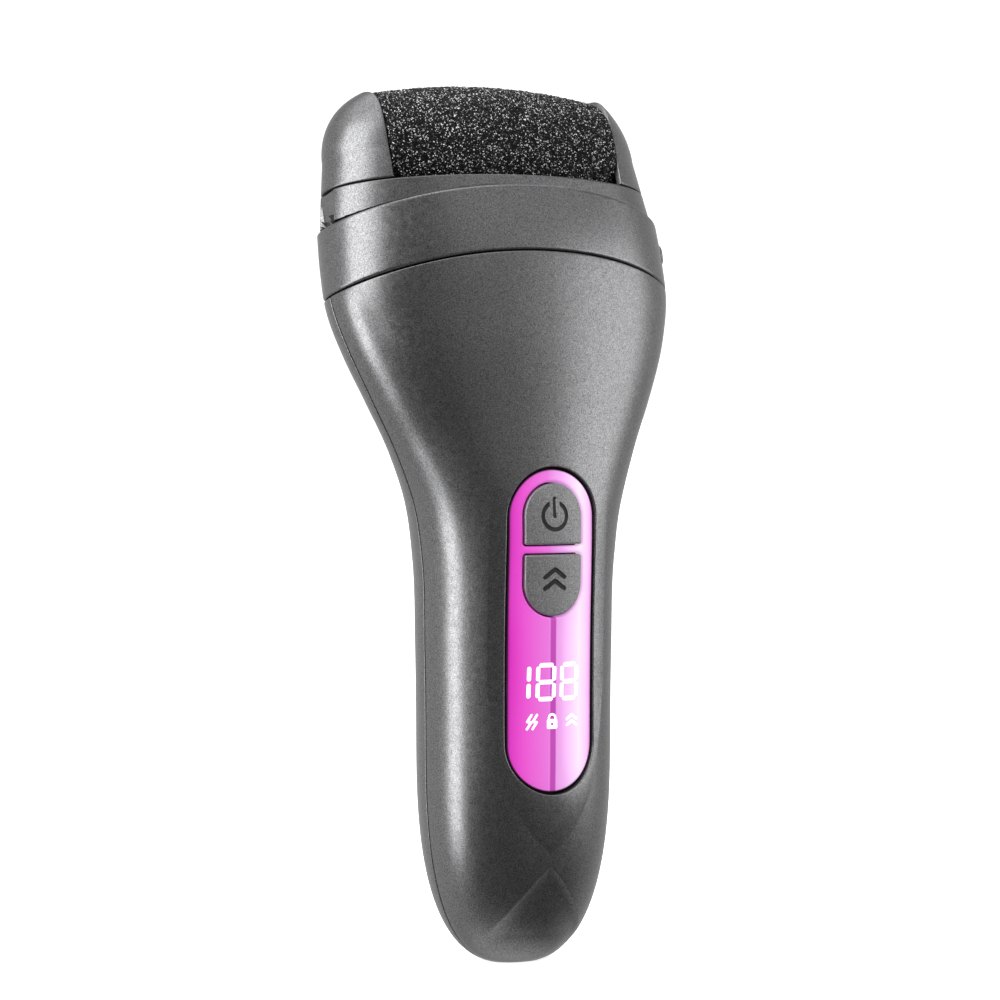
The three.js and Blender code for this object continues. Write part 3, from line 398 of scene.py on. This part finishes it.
class Look:
    """A Principled material and short ways to add nodes to it."""

    def __init__(self, name, **sockets):
        self.material = bpy.data.materials.new(name)
        self.material.use_nodes = True
        self.tree = self.material.node_tree
        self.shader = self.tree.nodes["Principled BSDF"]
        self.where = self.tree.nodes.new("ShaderNodeTexCoord").outputs["Object"]
        for key, value in sockets.items():
            self.shader.inputs[key.replace("_", " ")].default_value = value

    def node(self, kind, links=(), **settings):
        made = self.tree.nodes.new(kind)
        for key, value in settings.items():
            setattr(made, key, value)
        for socket, source in dict(links).items():
            if isinstance(source, bpy.types.NodeSocket):
                self.tree.links.new(source, made.inputs[socket])
            else:
                made.inputs[socket].default_value = source
        return made

    def link(self, source, socket):
        self.tree.links.new(source, self.shader.inputs[socket])

    def noise(self, size, detail=2.0, roughness=0.5):
        """Noise whose grains are about that many metres across."""
        return self.node("ShaderNodeTexNoise", {
            "Vector": self.where, "Scale": 1 / size, "Detail": detail, "Roughness": roughness}).outputs["Fac"]

    def ramp(self, source, *stops):
        """Colours at positions: each stop is (position, colour)."""
        made = self.node("ShaderNodeValToRGB", {"Fac": source})
        elements = made.color_ramp.elements
        while len(elements) < len(stops):
            elements.new(0.5)
        for element, (position, colour) in zip(elements, stops):
            element.position = position
            element.color = colour
        return made.outputs["Color"]

    def spread(self, source, low, high):
        """Noise stretched from around its middle to low and high."""
        made = self.node("ShaderNodeMapRange", {
            "Value": source, "From Min": 0.3, "From Max": 0.7, "To Min": low, "To Max": high})
        return made.outputs["Result"]

    def bump(self, height, distance, strength=1.0):
        made = self.node("ShaderNodeBump", {"Height": height, "Distance": distance, "Strength": strength})
        self.link(made.outputs["Normal"], "Normal")


def grained(name, dark, light, grain, roughness, metallic, bump, coat=0.0):
    """Fine-grained paint or moulded plastic: its colour, roughness and surface all vary with one grain."""
    look = Look(name, Metallic=metallic, Coat_Weight=coat, Coat_Roughness=0.25)
    fleck = look.noise(grain)
    look.link(look.ramp(fleck, (0.32, dark), (0.68, light)), "Base Color")
    look.link(look.spread(look.noise(grain * 5), roughness - 0.04, roughness + 0.04), "Roughness")
    look.bump(fleck, bump)
    return look.material


BODY = grained("body_paint", linear(84, 84, 85), linear(132, 132, 133), 0.00022, 0.32, 0.92, 0.00001)
BUTTON = grained("button_cap_finish", linear(104, 104, 105), linear(156, 156, 157),
                 0.00022, 0.5, 0.7, 0.00002)
ICON = grained("debossed_mark", linear(30, 30, 31), linear(44, 44, 45), 0.0003, 0.55, 0.2, 0.00001)
BLACK = grained("moulded_black", linear(20, 20, 21), linear(34, 34, 35), 0.0004, 0.5, 0.0, 0.00002)
SILICONE = grained("silicone_rubber", linear(48, 48, 50), linear(62, 62, 64), 0.0005, 0.7, 0.0, 0.00002)
NYLON = grained("gear_nylon_finish", linear(222, 216, 200), linear(238, 234, 222), 0.0008, 0.45, 0.0, 0.00001)
CELL = grained("cell_wrap_finish", linear(28, 74, 158), linear(44, 98, 188),
               0.002, 0.3, 0.0, 0.00001, coat=0.4)
BOARD = grained("solder_mask", linear(18, 78, 40), linear(26, 98, 52), 0.001, 0.4, 0.0, 0.00002, coat=0.3)
BRASS = grained("machined_brass", linear(196, 152, 78), linear(222, 182, 104), 0.0004, 0.3, 1.0, 0.000005)


def brushed_steel():
    """Steel with fine lines round the turned axis."""
    look = Look("bright_steel", Metallic=1.0)
    stretch = look.node("ShaderNodeMapping", {"Vector": look.where, "Scale": (9000, 400, 400)})
    lines = look.node("ShaderNodeTexNoise", {
        "Vector": stretch.outputs["Vector"], "Scale": 1.0, "Detail": 3.0})
    fine = lines.outputs["Fac"]
    look.link(look.ramp(fine, (0.3, linear(176, 177, 180)), (0.7, linear(208, 209, 212))), "Base Color")
    look.link(look.spread(fine, 0.24, 0.4), "Roughness")
    look.bump(fine, 0.000004)
    return look.material


def grit():
    """Black mineral grit: rough grains, with painted glints as near-white grains here and there in its
    colour.
    """
    look = Look("mineral_grit", Specular_IOR_Level=0.12)
    grains = look.node("ShaderNodeTexVoronoi", {"Vector": look.where, "Scale": 1 / 0.00018})
    facet = look.node("ShaderNodeSeparateColor", {"Color": grains.outputs["Color"]})
    # Painted glints: the ramp's top stops turn a few grains near-white.
    grit_tone_and_glints = look.ramp(
        facet.outputs["Red"], (0.0, linear(2, 2, 3)), (0.74, linear(8, 8, 9)), (0.88, linear(62, 62, 63)),
        (0.94, linear(160, 160, 161)), (0.975, linear(254, 254, 254)))
    look.link(grit_tone_and_glints, "Base Color")
    look.link(look.spread(facet.outputs["Green"], 0.3, 0.7), "Roughness")
    look.bump(grains.outputs["Distance"], 0.00008)
    return look.material


def lens_tint_and_reflection():
    """Glossy window: magenta with a painted reflection that turns pale to the right, a darker painted
    reflection stripe down the middle below the lower button, and a near-black band painted round its edge as
    the gap's shade."""
    look = Look("magenta_window", Roughness=0.12, Specular_IOR_Level=0.3)
    place = look.node("ShaderNodeSeparateXYZ", {"Vector": look.where})
    reach = LENS_RADIUS * MM
    across = look.node("ShaderNodeMapRange", {
        "Value": place.outputs["X"], "From Min": -reach, "From Max": reach}).outputs["Result"]
    # Painted reflection and shade over the magenta: pale towards the right, darker at both ends.
    magenta_and_reflection = look.ramp(
        across, (0.0, linear(84, 12, 70)), (0.05, linear(176, 38, 152)), (0.18, linear(190, 64, 168)),
        (0.44, linear(196, 100, 184)), (0.5, linear(198, 124, 192)), (0.64, linear(206, 152, 206)),
        (0.82, linear(226, 196, 226)), (0.92, linear(220, 168, 218)), (1.0, linear(150, 60, 140)))
    # Painted reflection: a darker stripe down the middle, below the lower button.
    beside = look.node("ShaderNodeMath", {0: place.outputs["X"]}, operation="ABSOLUTE").outputs["Value"]
    reflection_stripe_band = look.node("ShaderNodeMapRange", {
        "Value": beside, "From Min": 0.0005, "From Max": 0.0007,
        "To Min": 0.95, "To Max": 0.0}).outputs["Result"]
    under = look.node("ShaderNodeMath", {
        0: place.outputs["Z"], 1: (BOOST_CENTRE - BUTTON_HALF) * MM}, operation="LESS_THAN").outputs["Value"]
    line = look.node("ShaderNodeMath", {0: reflection_stripe_band, 1: under}, operation="MULTIPLY").outputs["Value"]
    with_reflection_stripe = look.node("ShaderNodeMixRGB", {
        "Fac": line, "Color1": magenta_and_reflection, "Color2": linear(158, 54, 148)}).outputs["Color"]
    haze = look.spread(look.noise(0.02, detail=1.0), 0.0, 0.1)
    hazy = look.node("ShaderNodeMixRGB", {
        "Fac": haze, "Color1": with_reflection_stripe, "Color2": linear(232, 120, 220)}).outputs["Color"]
    # Painted shade: a near-black band just inside the window's edge stands for the dark gap round it.
    middle = look.node("ShaderNodeClamp", {
        "Value": place.outputs["Z"], "Min": LENS_LOW * MM, "Max": LENS_HIGH * MM}).outputs["Result"]
    along = look.node("ShaderNodeMath", {
        0: place.outputs["Z"], 1: middle}, operation="SUBTRACT").outputs["Value"]
    flat = look.node("ShaderNodeCombineXYZ", {"X": place.outputs["X"], "Y": along}).outputs["Vector"]
    out = look.node("ShaderNodeVectorMath", {0: flat}, operation="LENGTH").outputs["Value"]
    gap_shade_band = look.node("ShaderNodeMapRange", {
        "Value": out, "From Min": reach - 0.00055, "From Max": reach - 0.0003}).outputs["Result"]
    soft = look.node("ShaderNodeMixRGB", {
        "Fac": gap_shade_band, "Color1": hazy, "Color2": linear(12, 8, 12)}).outputs["Color"]
    look.link(soft, "Base Color")
    # The window glows with these colours, so the painted reflection and shade glow too.
    look.link(soft, "Emission Color")
    look.shader.inputs["Emission Strength"].default_value = 0.7
    return look.material


def lit_marks():
    """White light of the digits, faintly uneven."""
    look = Look("white_light", Roughness=0.4)
    glow = look.ramp(look.noise(0.003), (0.3, linear(250, 240, 252)), (0.7, linear(255, 252, 255)))
    look.link(glow, "Base Color")
    look.link(glow, "Emission Color")
    look.shader.inputs["Emission Strength"].default_value = 1.0
    return look.material


STEEL = brushed_steel()
GRIT = grit()
LENS = lens_tint_and_reflection()
MARKS = lit_marks()


def finish(piece, body, slot, replaced, *materials):
    """Gives a piece its materials and body, and hides the CAD nodes that it stands for; its slot is not used.
    """
    for material in materials:
        piece.data.materials.append(material)
    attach(piece, body)
    if replaced:
        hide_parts(*replaced)
    return piece


# ------------------------------------------------------------------ handle shells
FRONT_ANGLES = (math.pi - 0.05, 2 * math.pi + 0.05)
REAR_ANGLES = (-0.05, math.pi + 0.05)
HANDLE_TOP = 136  # a little past the collar's lower edge, where the shells are cut off
CREASE = 0.12
below_collar = arch(COLLAR_LOW - SEAM, COLLAR_LOW_DROP, COLLAR_LOW_SPAN)


def depth_from_seam(points):
    """Signed distance behind the parting surface, which follows the bent spine."""
    y, z = points[:, 1], points[:, 2]
    centre = BEND_RADIUS - y
    bend = np.clip(np.arctan2(z - BEND_START, centre), 0, LEAN)
    in_bend = BEND_RADIUS - np.hypot(centre, z - BEND_START)
    _, above, _ = local(points)
    return np.where(z < BEND_START, y, np.where(bend < LEAN, in_bend, above))


def handle_sheet(angles, sunk):
    """The handle's outside, with finer rows on the tail's flat and along the tail."""
    lengths = np.concatenate([spaced(-1, 0, 0.12), spaced(0, TAIL_LENGTH, FINE * 0.8)[1:],
                              spaced(TAIL_LENGTH, HANDLE_TOP, FINE)[1:]])
    return Sheet(on_handle(0, sunk), lengths, spaced(*angles, FINE / 22))


def front_edges(points):
    x, z = points[:, 0], points[:, 2]
    on_front = np.where(points[:, 1] < 0, -pill(x, z, GAP), FAR_OFF)
    return np.minimum.reduce([-depth_from_seam(points) - SEAM, -below_collar(points), on_front])


def rear_edges(points):
    x, z = points[:, 0], points[:, 2]
    port = -slab(x, z, COVER_HALF + GAP, COVER_LOW - GAP, COVER_HIGH + GAP, 1.0)
    return np.minimum.reduce([depth_from_seam(points) - SEAM, -below_collar(points), port])


def crease(field):
    """The relief's edge as a field, so that the faces can follow it."""
    return lambda points: field(points[:, 0], points[:, 2])


front_sheet = handle_sheet(FRONT_ANGLES, True)
front_sheet.cut(crease(valley), -CREASE, 0, CREASE)
front_sheet.cut(crease(wedge), 0, 0.15)
finish(shell("handle_front", front_sheet, WALL, front_edges, radius=0.2),
       "handle", "body_shell", ["front_shell"], BODY)
finish(shell("handle_rear", handle_sheet(REAR_ANGLES, False), WALL, rear_edges, radius=0.2),
       "handle", "body_shell", ["rear_shell"], BODY)

# ------------------------------------------------------------------ collar
TURN = (0, 2 * math.pi)
above_collar_low = arch(COLLAR_LOW + SEAM, COLLAR_LOW_DROP, COLLAR_LOW_SPAN)
above_rim = arch(RIM, RIM_DROP, RIM_SPAN)


def release_outline(points, margin=0.0):
    x, v, w = local(points)
    on_side = stroke(v, w, (-RELEASE_REACH, RELEASE_W), (RELEASE_REACH, RELEASE_W), RELEASE_RADIUS + margin)
    return np.where(x > 0, on_side, -FAR_OFF)


def collar_edges(points):
    return np.minimum.reduce([above_collar_low(points), -above_rim(points), -release_outline(points, GAP)])


collar_sheet = Sheet(on_neck(), spaced(4, 26, FINE), spaced(*TURN, FINE / 28))
finish(shell("collar_band", collar_sheet, WALL, collar_edges, radius=0.5),
       "handle", "body_shell", ["collar"], BODY)

release_sheet = Sheet(on_neck(-RELEASE_PROUD), spaced(12, 19, 0.3), spaced(-0.9, 0.9, 0.02))
finish(shell("release_cap", release_sheet, RELEASE_DEEP, release_outline, radius=0.6),
       "release_key", "body_shell", ["release_button"], BODY)

# ------------------------------------------------------------------ head
above_shoulder = arch(RIM + GAP, RIM_DROP, RIM_SPAN)
SHOULDER_STEP = 0.08  # height over which the plug widens to the ring


def on_head_base(params):
    """The head base's outside: the plug that sits in the collar, and the ring above the shoulder."""
    w, angle = params.T
    ring = on_head(np.stack([w - CORNER_START, angle], -1))
    plug = leaned(*superellipse(SPIGOT_HALF, SPIGOT_DEEP, BODY_POWER, angle), w)
    share = np.clip(above_shoulder(ring) / SHOULDER_STEP, 0, 1)[:, None]
    return plug + share * (ring - plug)


def groove(points):
    """Inside of the upright groove in the ring's left end."""
    x, v, _ = local(points)
    return np.where(x < 0, GROOVE_HALF - np.abs(v), -FAR_OFF)


def groove_depth(points):
    """Down to a flat floor across the ring's end, which stops at the shoulder."""
    floor = np.maximum(-points[:, 0] - GROOVE_FLOOR, 0)
    on_ring = np.clip(above_shoulder(points) / SHOULDER_STEP, 0, 1)
    return floor * np.clip(groove(points) / GROOVE_SIDE, 0, 1) * on_ring


def base_edges(points):
    _, _, w = local(points)
    return np.minimum(w - SPIGOT_LOW, CHEEK_LINE - SEAM - w)


base_sheet = Sheet(on_head_base, spaced(17, 28, 0.35), spaced(*TURN, FINE / 28))
base_sheet.cut(above_shoulder, 0, SHOULDER_STEP)
base_sheet.cut(groove, 0, GROOVE_SIDE)
finish(shell("head_ring", base_sheet, RING_WALL, base_edges, radius=0.15, sink=groove_depth),
       "head", "body_shell", ["head_base"], BODY)


def cheek_edges(side):
    def edges(points):
        x, _, w = local(points)
        return np.minimum(side * x - CHEEK_INNER, w - CHEEK_LINE - SEAM)
    return edges


for side, label in ((-1, "left"), (1, "right")):
    middle = math.pi if side < 0 else 0
    cheek_sheet = Sheet(on_head, spaced(CHEEK_LINE - CORNER_START, 20, 0.35),
                        spaced(middle - 1.3, middle + 1.3, 0.012))
    finish(shell(f"{label}_cheek_skin", cheek_sheet, CHEEK_WALL, cheek_edges(side), radius=0.3),
           "head", "body_shell", [f"{label}_cheek"], BODY)

# ------------------------------------------------------------------ roller
def grit_sleeve():
    """Crowned sleeve with a rough surface of grains, from a seeded draw."""
    draw = np.random.default_rng(7)
    around, edge, roughness = 300, 0.8, 0.10
    flat = ROLLER_HALF - edge
    xs = spaced(-flat, flat, 0.28)
    radii = ROLLER_MID - (ROLLER_MID - ROLLER_END) * (xs / ROLLER_HALF) ** 2
    arc = np.linspace(0, math.pi / 2, 5)[1:]
    end = ROLLER_MID - (ROLLER_MID - ROLLER_END) * (flat / ROLLER_HALF) ** 2 - edge
    xs = np.concatenate([-flat - edge * np.sin(arc[::-1]), xs, flat + edge * np.sin(arc)])
    radii = np.concatenate([end + edge * np.cos(arc[::-1]), radii, end + edge * np.cos(arc)])
    rough = roughness * draw.standard_normal((len(xs), around)).clip(-2, 2)
    angles = np.arange(around) * 2 * math.pi / around
    rings = [(x, radius + rough[i]) for i, (x, radius) in enumerate(zip(xs, radii))]
    rings += [(ROLLER_HALF, np.full(around, ROLLER_BORE)), (-ROLLER_HALF, np.full(around, ROLLER_BORE))]
    points = np.vstack([leaned(np.full(around, x), ROLLER_V + radius * np.cos(angles),
                               ROLLER_W + radius * np.sin(angles)) for x, radius in rings])
    faces = []
    for i in range(len(rings)):
        a, b = i * around, (i + 1) % len(rings) * around
        faces += [[a + j, b + j, b + (j + 1) % around, a + (j + 1) % around] for j in range(around)]
    return mesh_object("grit_sleeve_skin", points, faces, sharp=75)


finish(grit_sleeve(), "roller", "grit_sleeve", ["abrasive_sleeve"], GRIT)

# ------------------------------------------------------------------ display window and buttons
LENS_ANGLES = (1.5 * math.pi - 0.75, 1.5 * math.pi + 0.75)


def lens_edges(points):
    x, z = points[:, 0], points[:, 2]
    return np.minimum.reduce([pill(x, z), -power_outline(x, z, GAP), -boost_outline(x, z, GAP)])


def front_sheet_at(inset, low, high, step):
    return Sheet(on_handle(inset, False), spaced(low, high, step), spaced(*LENS_ANGLES, step / 17))


finish(shell("display_window", front_sheet_at(LENS_SUNK, 31, 95, 0.35), LENS_THICK, lens_edges, radius=0.45),
       "handle", "display_lens", ["display_lens"], LENS)


def power_mark(x, z):
    """A ring with a gap at the top and an upright bar in it."""
    ring = 0.4 - np.abs(np.hypot(x, z - POWER_CENTRE) - 2.5)
    open_top = np.minimum(1.05 - np.abs(x), z - POWER_CENTRE)
    bar = stroke(x, z, (0, POWER_CENTRE), (0, POWER_CENTRE + 3.2), 0.42)
    return np.maximum(np.minimum(ring, -open_top), bar)


def chevrons(x, z, centre, size, half):
    """Two stacked arrowheads that point up."""
    marks = []
    for low in (centre[1] - 0.75 * size, centre[1] + 0.25 * size):
        tip = (centre[0], low + 0.7 * size)
        marks += [stroke(x, z, (centre[0] - side * size, low), tip, half) for side in (-1, 1)]
    return np.maximum.reduce(marks)


def boost_mark(x, z):
    return chevrons(x, z, (0, BOOST_CENTRE + 0.6), 2.1, 0.42)


def button_cap(name, outline, mark, body, node, low, high):
    """A button whose face follows the window's curve, with its mark pressed in."""
    def pressed(points):
        return mark(points[:, 0], points[:, 2])
    sheet = front_sheet_at(BUTTON_SUNK, low, high, 0.18)
    sheet.cut(pressed, 0, MARK_SIDE)
    made = shell(name, sheet, BUTTON_TALL, lambda points: outline(points[:, 0], points[:, 2]), radius=0.35,
                 sink=lambda points: MARK_DEEP * np.clip(pressed(points) / MARK_SIDE, 0, 1),
                 dark=lambda points: pressed(points) > -1e-3)
    finish(made, body, "button_cap", [node], BUTTON, ICON)


button_cap("power_cap", power_outline, power_mark, "power_key", "power_button", 78, 92)
button_cap("boost_cap", boost_outline, boost_mark, "boost_key", "boost_button", 65, 78.5)


# digits and signs that light up behind the window
DIGIT_LOW, DIGIT_TALL, DIGIT_WIDE, DIGIT_HALF, DIGIT_GAP = 50.5, 6.3, 3.4, 0.4, 0.62
DIGIT_PLACES = ((-5.1, "1"), (-3.3, "8"), (1.8, "8"))
SLANT = 0.03
SIGNS_HEIGHT = 46.3


def digit(x, z, left, shape):
    """Seven-segment digit: a gap parts the strokes, and a one has only the upright ones on its left."""
    middle, top, right = DIGIT_LOW + DIGIT_TALL / 2, DIGIT_LOW + DIGIT_TALL, left + DIGIT_WIDE
    x = x - SLANT * (z - DIGIT_LOW)
    level = [] if shape == "1" else [DIGIT_LOW, middle, top]
    sides = [left] if shape == "1" else [left, right]
    marks = [stroke(x, z, (at, low + DIGIT_GAP), (at, high - DIGIT_GAP), DIGIT_HALF)
             for at in sides for low, high in ((DIGIT_LOW, middle), (middle, top))]
    marks += [stroke(x, z, (left + DIGIT_GAP, at), (right - DIGIT_GAP, at), DIGIT_HALF) for at in level]
    return np.maximum.reduce(marks)


def bolt(x, z, centre):
    """A lightning sign of three strokes."""
    cx, cz = centre
    path = [(cx + 0.45, cz + 1.3), (cx - 0.4, cz + 0.05), (cx + 0.4, cz - 0.05), (cx - 0.45, cz - 1.3)]
    return np.maximum.reduce([stroke(x, z, a, b, 0.22) for a, b in zip(path, path[1:])])


def padlock(x, z, centre):
    cx, cz = centre
    body = slab(x - cx, z, 1.1, cz - 1.4, cz + 0.4, 0.3)
    shackle = 0.2 - np.abs(np.hypot(x - cx, z - cz - 0.6) - 0.7)
    keyhole = 0.28 - np.hypot(x - cx, z - cz + 0.5)
    return np.minimum(np.maximum(body, np.where(z > cz + 0.3, shackle, -9)), -keyhole)


def display_marks(points):
    x, z = points[:, 0], points[:, 2]
    signs = [bolt(x, z, (-4.9, SIGNS_HEIGHT)), bolt(x, z, (-3.8, SIGNS_HEIGHT)),
             padlock(x, z, (-0.2, SIGNS_HEIGHT)), chevrons(x, z, (4.2, SIGNS_HEIGHT), 1.1, 0.24)]
    return np.maximum.reduce([digit(x, z, *place) for place in DIGIT_PLACES] + signs)


marks_sheet = Sheet(on_handle(LENS_SUNK - 0.03, False), spaced(44, 58, 0.12),
                    spaced(1.5 * math.pi - 0.5, 1.5 * math.pi + 0.5, 0.007))
finish(shell("display_marks", marks_sheet, 0.06, display_marks, radius=0.02),
       "handle", "led_block", [], MARKS)


# ------------------------------------------------------------------ port cover and screw posts
def cover_edges(points):
    return slab(points[:, 0], points[:, 2], COVER_HALF, COVER_LOW, COVER_HIGH, 0.8)


cover_sheet = Sheet(on_handle(0.1, False), spaced(18, 31, 0.3),
                    spaced(0.5 * math.pi - 0.5, 0.5 * math.pi + 0.5, 0.015))
finish(shell("port_flap_skin", cover_sheet, FLAP_THICK, cover_edges, radius=0.3),
       "port_flap", "silicone", ["port_cover"], SILICONE)


def framed_slab(name, outside, hole, y):
    """An upright plate with a rectangular hole: each outline is (half width, low, high), and y holds the
    plate's front and back."""
    def corners(half, low, high):
        return [(-half, low), (half, low), (half, high), (-half, high)]
    rings = [(outside, y[0]), (outside, y[1]), (hole, y[1]), (hole, y[0])]
    points = np.array([(x, depth, z) for outline, depth in rings for x, z in corners(*outline)])
    faces = []
    for i in range(4):
        a, b = 4 * i, 4 * ((i + 1) % 4)
        faces += [[a + j, b + j, b + (j + 1) % 4, a + (j + 1) % 4] for j in range(4)]
    return mesh_object(name, points, faces)


port_rim = (COVER_HALF + 0.8, COVER_LOW - 0.6, COVER_HIGH + 0.6)
finish(framed_slab("port_floor", port_rim, (PORT_HALF, PORT_LOW, PORT_HIGH), PORT_FLOOR),
       "handle", "body_shell", [], BODY)


def turned_post(name, x, v, profile, sides=32):
    """A hollow round post along the lean from a closed profile of (radius, w)."""
    angles = np.arange(sides) * 2 * math.pi / sides
    points = np.vstack([leaned(x + radius * np.cos(angles), v + radius * np.sin(angles), np.full(sides, w))
                        for radius, w in profile])
    faces = []
    for i in range(len(profile)):
        a, b = i * sides, (i + 1) % len(profile) * sides
        faces += [[a + j, a + (j + 1) % sides, b + (j + 1) % sides, b + j] for j in range(sides)]
    return mesh_object(name, points, faces)


POST_PROFILE = [(2.4, 6), (2.4, 14.9), (2.1, 15.2), (1.1, 15.2), (1.1, 6)]
for i, (x_side, v_side) in enumerate(((-1, -1), (1, -1), (-1, 1), (1, 1)), 1):
    post = turned_post(f"screw_post_{i}", x_side * SCREW_X, v_side * SCREW_V, POST_PROFILE)
    finish(post, "handle", "body_shell", [], BLACK)

# ------------------------------------------------------------------ CAD nodes that keep their shape
SLOT_LOOKS = {
    "black_plastic": BLACK, "silicone": SILICONE, "circuit_board": BOARD, "cell_wrap": CELL, "steel": STEEL,
    "brass": BRASS, "gear_nylon": NYLON, "led_block": MARKS,
}
for part in frame["record"]["subparts"]:
    look = SLOT_LOOKS.get(part["material_slot"])
    if look:
        data = frame["nodes"][part["node"]].data
        data.materials.clear()
        data.materials.append(look)

# ------------------------------------------------------------------ stage, lights and camera
def stage_floor():
    """A wide pale floor. It glows white to the camera, so that it meets the backdrop without a line, and
    throws no light on the object from below."""
    bpy.ops.mesh.primitive_plane_add(size=30)
    floor = bpy.context.object
    floor.name = "floor"
    look = Look("pale_floor", Roughness=0.9)
    pale = look.ramp(look.noise(0.3), (0.3, (0.88, 0.88, 0.88, 1)), (0.7, (0.92, 0.92, 0.92, 1)))
    look.link(pale, "Base Color")
    look.shader.inputs["Emission Color"].default_value = (1, 1, 1, 1)
    look.shader.inputs["Emission Strength"].default_value = 0.8
    floor.data.materials.append(look.material)
    floor.visible_glossy = False
    floor.visible_diffuse = False


AIM = Vector((-0.0022, 0.0013, 0.0871))


def bearing(azimuth, elevation):
    """Unit vector: azimuth 0 is the front, and positive azimuths are to the right."""
    a, e = math.radians(azimuth), math.radians(elevation)
    return Vector((math.sin(a) * math.cos(e), -math.cos(a) * math.cos(e), math.sin(e)))


def aimed(thing, back, distance):
    """Puts a light or camera back from the aim, which it faces."""
    thing.location = AIM + back * distance
    thing.rotation_euler = back.to_track_quat("Z", "Y").to_euler()


def softbox(name, azimuth, elevation, width, height, radiance, distance=1.0):
    """An area light that looks equally bright at any size: its power follows from its area."""
    data = bpy.data.lights.new(name, "AREA")
    data.shape = "RECTANGLE"
    data.size, data.size_y, data.energy = width, height, radiance * math.pi * width * height
    light = bpy.data.objects.new(name, data)
    bpy.context.scene.collection.objects.link(light)
    aimed(light, bearing(azimuth, elevation), distance)


def world(backdrop, ambient, glows):
    """White behind the object, and soft light on it: an even part, and broad glows from some bearings.
    Each glow is (azimuth, elevation, radiance, where it starts), the last as the cosine from its bearing."""
    made = bpy.data.worlds.new("studio")
    bpy.context.scene.world = made
    made.use_nodes = True
    tree = made.node_tree

    def node(kind, links, **settings):
        one = tree.nodes.new(kind)
        for key, value in settings.items():
            setattr(one, key, value)
        for socket, source in links.items():
            if isinstance(source, bpy.types.NodeSocket):
                tree.links.new(source, one.inputs[socket])
            else:
                one.inputs[socket].default_value = source
        return one.outputs[0] if kind != "ShaderNodeVectorMath" else one.outputs["Value"]

    way = tree.nodes.new("ShaderNodeTexCoord").outputs["Generated"]
    total = ambient
    for azimuth, elevation, radiance, start in glows:
        along = node("ShaderNodeVectorMath", {
            0: way, 1: bearing(azimuth, elevation)}, operation="DOT_PRODUCT")
        glow = node("ShaderNodeMapRange", {"Value": along, "From Min": start, "From Max": 1.0, "To Min": 0.0,
                                           "To Max": radiance}, interpolation_type="SMOOTHSTEP")
        total = node("ShaderNodeMath", {0: total, 1: glow}, operation="ADD")
    seen = tree.nodes.new("ShaderNodeLightPath").outputs["Is Camera Ray"]
    strength = node("ShaderNodeMix", {"Factor": seen, "A": total, "B": backdrop}, data_type="FLOAT")
    background = tree.nodes["Background"]
    background.inputs["Color"].default_value = (1, 1, 1, 1)
    tree.links.new(strength, background.inputs["Strength"])


stage_floor()
world(backdrop=1.3, ambient=0.12, glows=[
    (-125, 0, 0.8, 0.1), (125, -10, 0.6, 0.2), (0, 90, 2.2, 0.6), (0, -90, 1.0, 0.66), (18, 10, 0.3, 0.84)])
softbox("left_high_box", -69, 28, 0.70, 0.86, 5.1)
softbox("left_low_box", -86, -8, 0.38, 0.5, 6.8, distance=1.05)
softbox("right_box", 58, 7, 0.74, 0.62, 3.0)
softbox("top_right_fill", 30, 38, 0.8, 0.4, 0.6)

camera_data = bpy.data.cameras.new("camera")
camera_data.lens = 133.3
camera_data.sensor_width = 36
camera_data.dof.use_dof = False
camera = bpy.data.objects.new("camera", camera_data)
bpy.context.scene.collection.objects.link(camera)
aimed(camera, bearing(-30, 1.594), 0.70)
bpy.context.scene.camera = camera
bpy.context.scene.view_settings.view_transform = "Standard"
